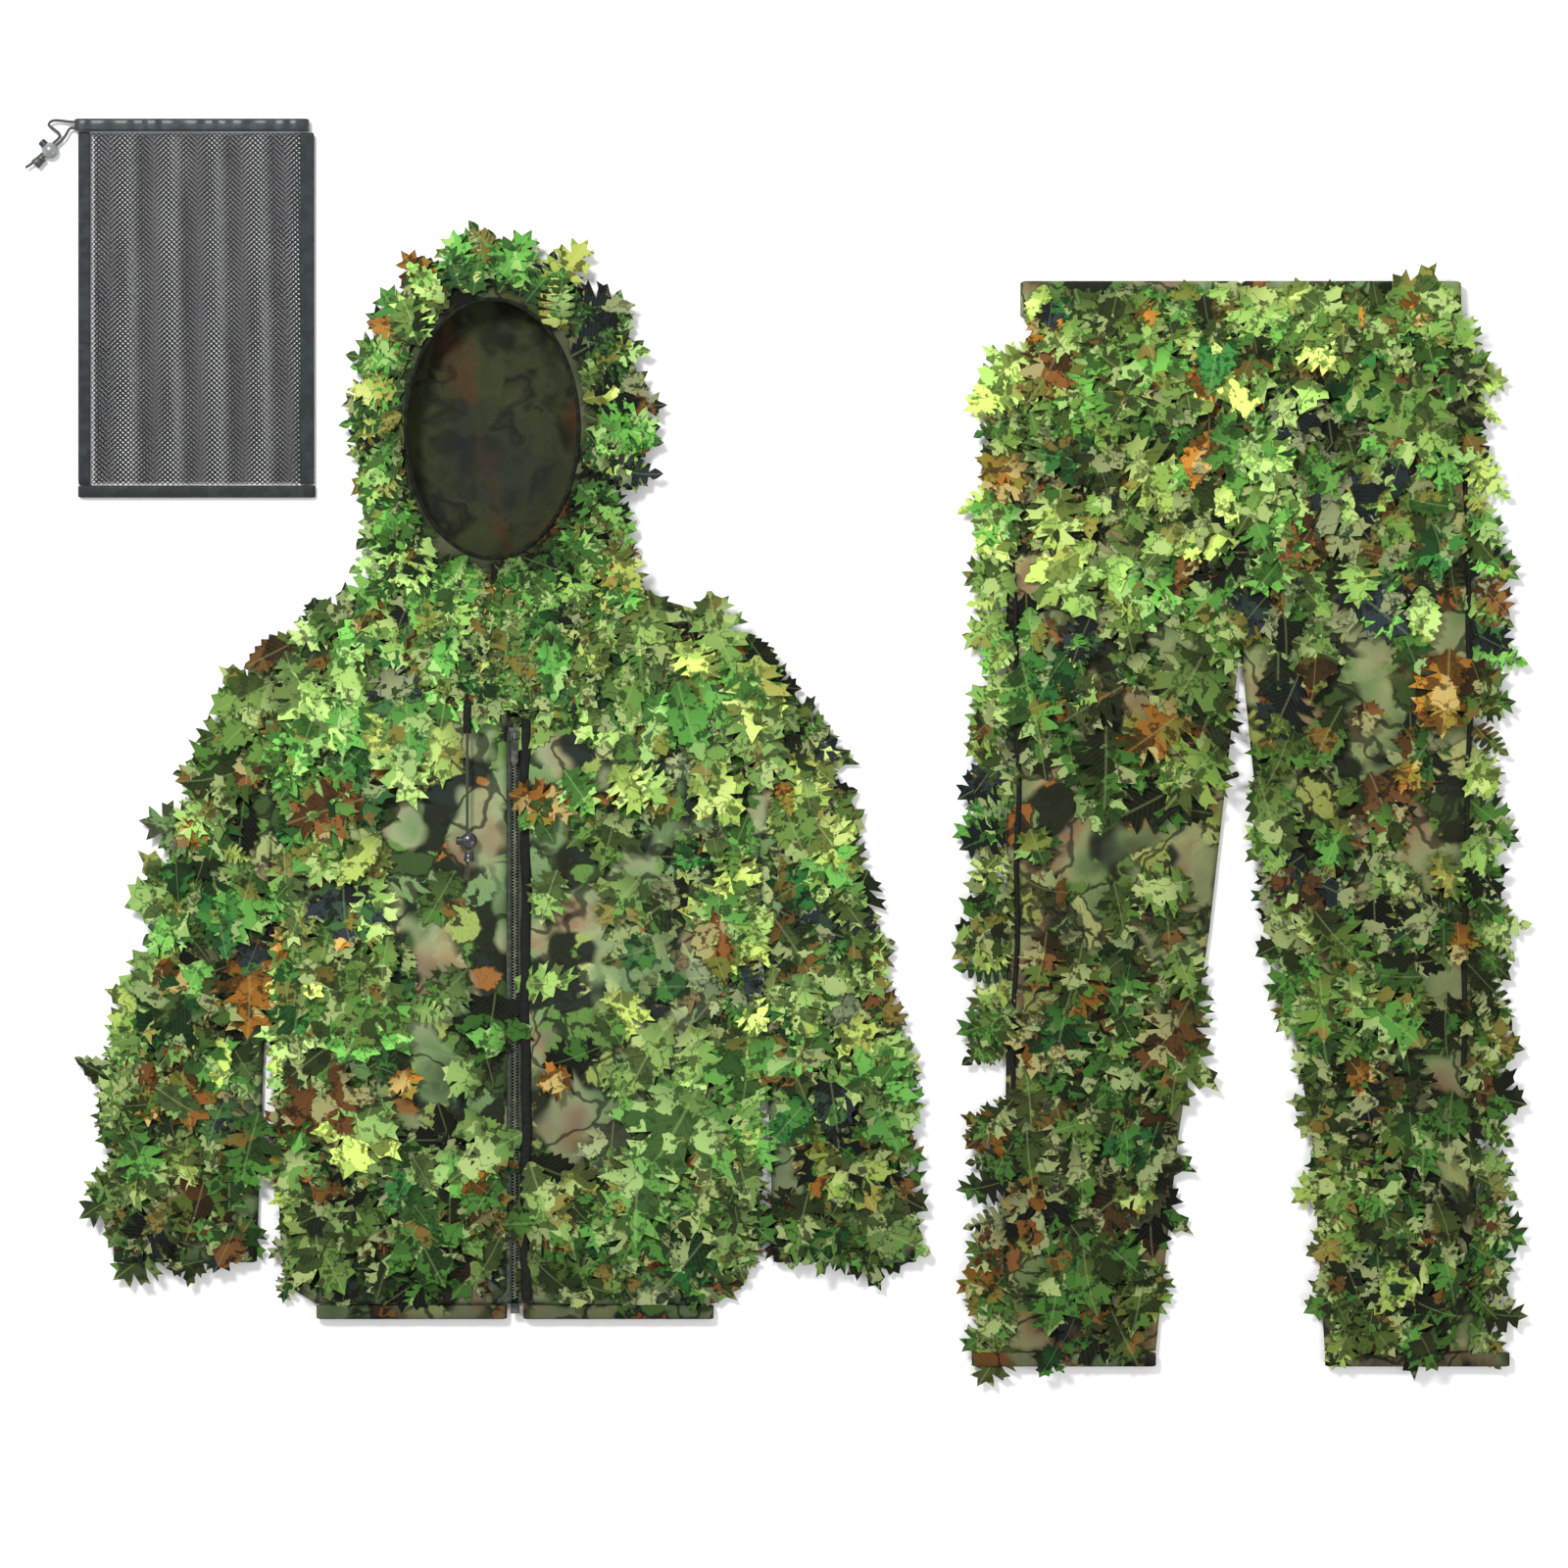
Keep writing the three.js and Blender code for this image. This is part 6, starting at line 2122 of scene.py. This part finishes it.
    def _cape_leaves(self, strewer: Strewer) -> None:
        """Leaves on the cape, tips down."""
        low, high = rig.box("collar_cape")
        centre = ((low.x + high.x) / 2, high.y)
        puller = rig.box("zip_slider")[1]
        cover = lambda x, y: 22.5 * MM + 4.5 * MM * smooth((y - low.y) / (high.y - low.y))
        strewer.ceiling = 35.0 * MM
        layer = Layer(0.024, (0.032, 0.058), (LeafKind.OAK, LeafKind.MAPLE, LeafKind.SPEAR, LeafKind.IVY),
                      JACKET_TINTS, 1.0 * MM, 5 * MM, 0.6)
        bright = Layer(0.024, (0.07, 0.07), (LeafKind.SPEAR,), ((1.0, srgb(98, 168, 74)),), 6 * MM, 3 * MM, 0)
        strewer.shade = lambda x, y: 0.6
        rng = strewer.rng
        for _ in range(120):
            turn = rng.uniform(math.pi, 2 * math.pi)
            share = math.sqrt(rng.uniform(0, 0.62))
            at = (centre[0] + 0.1 * share * math.cos(turn), centre[1] - 0.012 + 0.1 * share * math.sin(turn))
            heading, length = -math.pi / 2 + rng.normal(0, 0.6), rng.uniform(*layer.length)
            tip = (at[0] + length * math.cos(heading), at[1] + length * math.sin(heading))
            if abs(tip[0] - self.jacket.zip_x) < 0.026 and tip[1] < puller.y + 0.014:
                continue
            strewer.leaf(at, heading, length, layer, cover, "suit")
        strewer.shade = lambda x, y: 1.0
        for x, y, heading, length in ((-0.243, 0.118, -1.5, 0.078), (-0.335, 0.112, -1.9, 0.062)):
            strewer.leaf((x, y), heading, length, bright, cover, "suit")


# ------------------------------------------------------------------------------ trousers


@dataclass
class Trousers:
    """The trousers: two halves that fold along the middle seam."""

    middle: float = 0.42398
    waist: float = 0.44795
    crotch: float = 0.09495
    fold: Fold = Fold("suit", "trouser_leg_right", 0, 0.42398, -1)
    panels: dict[str, Panel] = field(default_factory=dict)

    def build(self) -> None:
        """Makes the cloth, the bands, the piping and the leaves."""
        for side, sign in SIDES:
            self._cloth(side, sign)
            self._bands(side, sign)
            self._piping(side, sign)
        self._twig()
        self._leaves()

    def _cloth(self, side: str, sign: int) -> None:
        """A half's back and front."""
        outer = 0 if sign < 0 else 1
        trim = [0.0, 0.0]
        trim[outer] = 30 * MM
        grow = (0.0, 0.013) if sign < 0 else (0.0, 0.0)
        joined = (self.crotch - 0.01, 0.6, 1 - outer)
        for part, seam, rise, finish, slot, step, crease in (
            ("back", 3.6 * MM, -1.9 * MM, BACK_CLOTH, "back_cloth", 0.012, 0.4 * MM),
            ("front", 5.0 * MM, 13.0 * MM, TROUSER_CLOTH, "cloth", 0.006, 2.4 * MM),
        ):
            node = f"trousers_{part}_{side}"
            panel = Panel(node + "_cloth", (node,), seam, rise, trim=tuple(trim), down=(0.95, 0.95, 0.4, 0.25),
                          joined=joined, crease=crease, gather=("high", "low") if part == "front" else (),
                          step=step, seed=71 + sign, lean=0.15 * sign,
                          widen=(self.crotch + 0.002, 0.6, *grow) if sign < 0 else None)
            self.panels[f"{part}_{side}"] = panel
            cloth = panel.build()
            dress(cloth, finish, slot, self.fold if sign < 0 else "suit", node)

    def _bands(self, side: str, sign: int) -> None:
        """A half's waistband and ankle band."""
        body, waist = self._body(sign), [f"waistband_{side}", f"waist_elastic_{side}"]
        bind(f"waist_{side}", WAIST, body, waist, (0.6 * MM, 18.0 * MM), 0.16, 0.0105, sides=28)
        bind(f"ankle_{side}", BAND, body, [f"ankle_elastic_{side}"], (0.6 * MM, 15.0 * MM), 0.2, 0.009)

    @staticmethod
    def _body(sign: int) -> str:
        """The body that a half rides on."""
        return "trouser_leg_right" if sign < 0 else "suit"

    def _piping(self, side: str, sign: int) -> None:
        """The dark cord along a half's outer seam."""
        panel = self.panels[f"front_{side}"]
        y = np.linspace(self.waist - 0.19, self.waist - 0.78, 90)
        x = self.middle + sign * (0.2185 + 0.003 * np.sin(y * 9 + sign) + 0.0012 * np.sin(y * 41))
        z = panel.height(x, y) + 1.2 * MM
        piping = tube(f"piping_{side}", np.stack([x, y, z], 1), 2.6 * MM, 8, flat=0.7)
        dress(piping, PIPING, "band", self._body(sign))

    def _twig(self) -> None:
        """A dark twig of rolled cloth at the right leg's inner edge."""
        panel = self.panels["front_right"]
        t = np.linspace(0, 1, 30)
        x = self.middle - 0.081 + 0.077 * t
        y = -0.0765 + 0.0475 * t + 0.007 * np.sin(t * math.pi)
        z = panel.height(np.minimum(x, self.middle - 0.035), y) + 4.4 * MM
        path = np.stack([x, y, z], 1)
        dress(tube("twig_right", path, 2.8 * MM, 8), PIPING, "dark_leaf", "trouser_leg_right")

    def _over_waist(self, x: Array, y: Array) -> Array:
        """Height of what the leaves at the waist lie on."""
        right, left = self.panels["front_right"], self.panels["front_left"]
        cloth = np.where(x < self.middle, right.height(x, y), left.height(x, y))
        return np.maximum(cloth, 18.6 * MM * smooth((y - left.high + 0.03) / 0.02))

    def _density(self, x: float, y: float, sign: int, thigh: float) -> float:
        """The share of leaves at a place: fewer at the thighs and beside the piping."""
        out = (x - self.middle) * sign
        middle = float(smooth((out - 0.03) / 0.03) * smooth((0.215 - out) / 0.03))
        level = float(smooth((y - self.waist + 0.72) / 0.1) * smooth((self.waist - 0.24 - y) / 0.06))
        return 1 - (1 - thigh) * middle * level

    def _leaves(self) -> None:
        """Leaves over both halves."""
        right, left, seam = Heap("leg_leaves_right"), Heap("leg_leaves_left"), Heap("seat_seam_leaves")
        heaps = {"trouser_leg_right": right, "suit": left, None: seam}
        strewer = Strewer(81, heaps, self.fold)
        strewer.shade = lambda x, y: 1.35 - 0.85 * float(smooth((self.waist - 0.15 - y) / 0.6))
        *layers, edge = garment_layers(
            TROUSER_TINTS, TROUSER_UNDER, (0.036, 0.05, 0.040, 0.054, 0.016),
            ((0.05, 0.085), (0.036, 0.066), (0.052, 0.090), (0.028, 0.046), (0.040, 0.060)), 0.7,
        )
        _, printed, main, _ = layers
        for side, sign in SIDES:
            panel = self.panels[f"front_{side}"]
            body = self._body(sign)
            heading = lambda x, y, s=sign: -math.pi / 2 + s * 0.15
            top = lambda x, y, p=panel: np.maximum(p.height(x, y), np.where(y > p.high - 4 * MM, 17.6 * MM, 0))
            inner = lambda x, y, p=panel, s=sign: (x - p.sides(y)[(1 - s) // 2]) * s < 0.002
            strewer.clear = lambda x, y, out=inner: (
                (np.abs(np.abs(x - self.middle) - 0.2185) < 0.006) & (y < self.waist - 0.16)
                | out(x, y) & (y < self.crotch + 0.005)
            )
            for layer, share in zip(layers, (0.25, 0.3, 0.34, 0.4)):
                density = lambda x, y, k=share, s=sign: self._density(x, y, s, k)
                strewer.cover(panel, layer, body, heading, density, 0.004, (0.03, 0.034), top)
            strewer.clear = None
            for row, y in enumerate((panel.high + 0.004, panel.high + 0.020, self.waist - 0.004)):
                for x in np.arange(0.010 + 0.006 * row, 0.205, 0.021):
                    at = (self.middle + sign * x, y + strewer.rng.uniform(-0.004, 0.003))
                    turn = -math.pi / 2 + strewer.rng.normal(0, 0.45)
                    size = strewer.rng.uniform(0.034, 0.052)
                    strewer.leaf(at, turn, size, main if row < 2 else printed, self._over_waist, body)
            angle = math.pi + 0.6 if sign < 0 else -0.6
            strewer.fringe(panel, edge, body, sign, (panel.low + 0.012, panel.high - 0.02), angle, 0.001)
            if sign > 0:
                strewer.fringe(panel, edge, body, -1, (panel.low + 0.03, self.crotch - 0.12), math.pi + 0.9, 0.03)
        dress(right.build(), LEAF, "leaf", "trouser_leg_right", "trousers_leaves_right")
        dress(left.build(), LEAF, "leaf", "suit", "trousers_leaves_left")
        dress(seam.build(), LEAF, "leaf", self.fold)


# ------------------------------------------------------------------------------ bag


@dataclass
class Bag:
    """The net bag, with its casing and bindings."""

    pitch: float = 4.8 * MM
    hole: float = 0.74
    middle: tuple[float, float] = (-0.58952, 0.42225)

    def build(self) -> None:
        """Makes the nets and their edges."""
        self._net("bag_net_back", "bag_back_net", 1.3 * MM, 1.13)
        self._net("bag_net_front", "bag_front_net", 3.9 * MM, 1.0)
        flat = (0.3 * MM, 6.0 * MM)
        bind("bag_casing", BAG_BAND, "suit", ["bag_top_casing", "bag_casing_cord"], (0.3 * MM, None), 0.1, 0.017)
        bind("bag_bottom", BAG_EDGE, "suit", ["bag_bottom_binding"], flat, 0.08, 0.013)
        bind("bag_side", BAG_EDGE, "suit", ["bag_side_binding"], flat, 0.08, 0.011, upright=True)
        low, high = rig.box("bag_front_net")
        across = high.x - 8 * MM
        doubled = band("bag_right_edge", ((across, low.y + 1 * MM), (across, high.y - 1 * MM)), 14 * MM,
                       (4.6 * MM, 5.8 * MM), gather=0.08, pitch=0.011)
        dress(doubled, BAG_EDGE, "band", "suit")

    def _net(self, name: str, node: str, z: float, stretch: float) -> None:
        """One layer of netting: diamonds with open middles.

        Args:
            name: The piece's name.
            node: The CAD node that it stands for.
            z: Its height.
            stretch: Width of its mesh against the pitch.
        """
        low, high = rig.box(node)
        outline = Outline(node)
        edge = 0.6 * MM
        wide, tall = high.x - low.x - 2 * edge, high.y - low.y - 2 * edge
        across = max(2, round(wide / (self.pitch * stretch)))
        along = max(2, round(tall / self.pitch))
        dx, dy = wide / across, tall / along
        ys = np.linspace(low.y + edge, high.y - edge, 60)
        sides = np.array([outline.across(float(y)) for y in ys])
        corner: dict[tuple[int, int], int] = {}
        points: list[tuple[float, float]] = []
        faces: list[tuple[int, int, int, int]] = []

        def at(i: int, j: int) -> int:
            if (i, j) not in corner:
                corner[(i, j)] = len(points)
                points.append((i * dx / 2, j * dy / 2))
            return corner[(i, j)]

        for j in range(1, 2 * along):
            for i in range(1 + (j + 1) % 2, 2 * across, 2):
                ring = [at(i - 1, j), at(i, j - 1), at(i + 1, j), at(i, j + 1)]
                inner = []
                mid_x, mid_y = i * dx / 2, j * dy / 2
                for index in ring:
                    px, py = points[index]
                    inner.append(len(points))
                    points.append((mid_x + (px - mid_x) * self.hole, mid_y + (py - mid_y) * self.hole))
                for k in range(4):
                    n = (k + 1) % 4
                    faces.append((ring[k], ring[n], inner[n], inner[k]))
        plan = np.array(points)
        y = low.y + edge + plan[:, 1]
        left, right = np.interp(y, ys, sides[:, 0]), np.interp(y, ys, sides[:, 1])
        x = left + edge + (right - left - 2 * edge) * np.clip(plan[:, 0] / wide, 0, 1)
        rise = z + 0.5 * MM * np.sin(x * 60 + y * 21) + 0.35 * MM * np.sin(y * 55 + x * 17)
        net = mesh_object(name, np.column_stack([x, y, rise]), np.array(faces))
        net.data.polygons.foreach_set("use_smooth", np.zeros(len(faces), bool))
        thicken(net, 0.4 * MM)
        cloth = wide * tall * (1 - self.hole**2)
        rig.sheet(net, flat=(wide, tall), held="laid", rests_on=["floor"], area=cloth)
        dress(net, NET, "net", "suit", node)


def hood_cord(jacket: Jacket) -> None:
    """The hood's drawcord, with its tunnel and fittings."""
    cords = CordSet("hood", "suit", HOOD_CORD, BLACK_PLASTIC, -math.pi / 2)
    cords.fittings()
    line = [(-45, 592.2, 27.7), (-45, 546.5, 27.7), (-45, 503, 27.7), (-45, 473, 27.7), (-45, 453, 27.7),
            (-45, 442, 27.7), (-45.5, 435, 26.2), (-47, 429, 23.8), (-49, 423, 23.8)]
    cords.cord("hood_cord", "hood_drawcord", [(*jacket.local(x, y), z * MM) for x, y, z in line])
    bind("cord_tunnel", BINDING, "suit", ["hood_cord_tunnel"], (0.2 * MM, None), 0.06, 0.004, upright=True)


def bag_cord(bag: Bag) -> None:
    """The two strands of the bag's drawcord, with their fittings."""
    cords = CordSet("bag", "suit", BAG_CORD, GREY_PLASTIC, math.radians(-137))
    cords.fittings()
    cos, sin = math.cos(cords.angle), math.sin(cords.angle)
    lock = (-139.0, 152.5)

    def from_lock(along: float, across: float) -> tuple[float, float]:
        """A place along the cord from the lock, and across it towards the button."""
        return lock[0] + along * cos + across * sin, lock[1] + along * sin - across * cos

    straight = [(-115.3, 174.4), (-120, 173.6), from_lock(-18, -0.15), from_lock(-8, -0.15), from_lock(8, -0.15),
                from_lock(17, -0.15)]
    slack = [(-115.3, 180.1), (-122, 180.7), (-130, 181.7), (-137, 181.3), (-140.3, 177.2), from_lock(-17.2, 11.0),
             from_lock(-17.8, 6.2), from_lock(-15.2, 3.1), from_lock(-11, 2.95), from_lock(-6, 2.95),
             from_lock(8, 2.95), from_lock(21, 2.95), from_lock(28, 3.95)]
    for name, node, line in (("bag_strand_straight", "bag_cord_straight", straight),
                             ("bag_strand_slack", "bag_cord_slack", slack)):
        points = [(bag.middle[0] + x * MM, bag.middle[1] + y * MM, 5.5 * MM) for x, y in line]
        cords.cord(name, node, points)


def main() -> None:
    """Builds the studio, then the suit's pieces in order."""
    logging.basicConfig(level=logging.INFO, format="%(name)s: %(message)s")
    Studio().build()
    jacket, bag = Jacket(), Bag()
    hood_cord(jacket)
    bag_cord(bag)
    jacket.build()
    Hood(jacket).build()
    Trousers().build()
    bag.build()
    with open(SIZE_FILE, "w") as out:
        boxes = {"cad": CAD_BOX, "visual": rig.bounds()}
        json.dump({name: [list(map(float, corner)) for corner in box] for name, box in boxes.items()}, out)


if __name__ == "__main__":
    main()
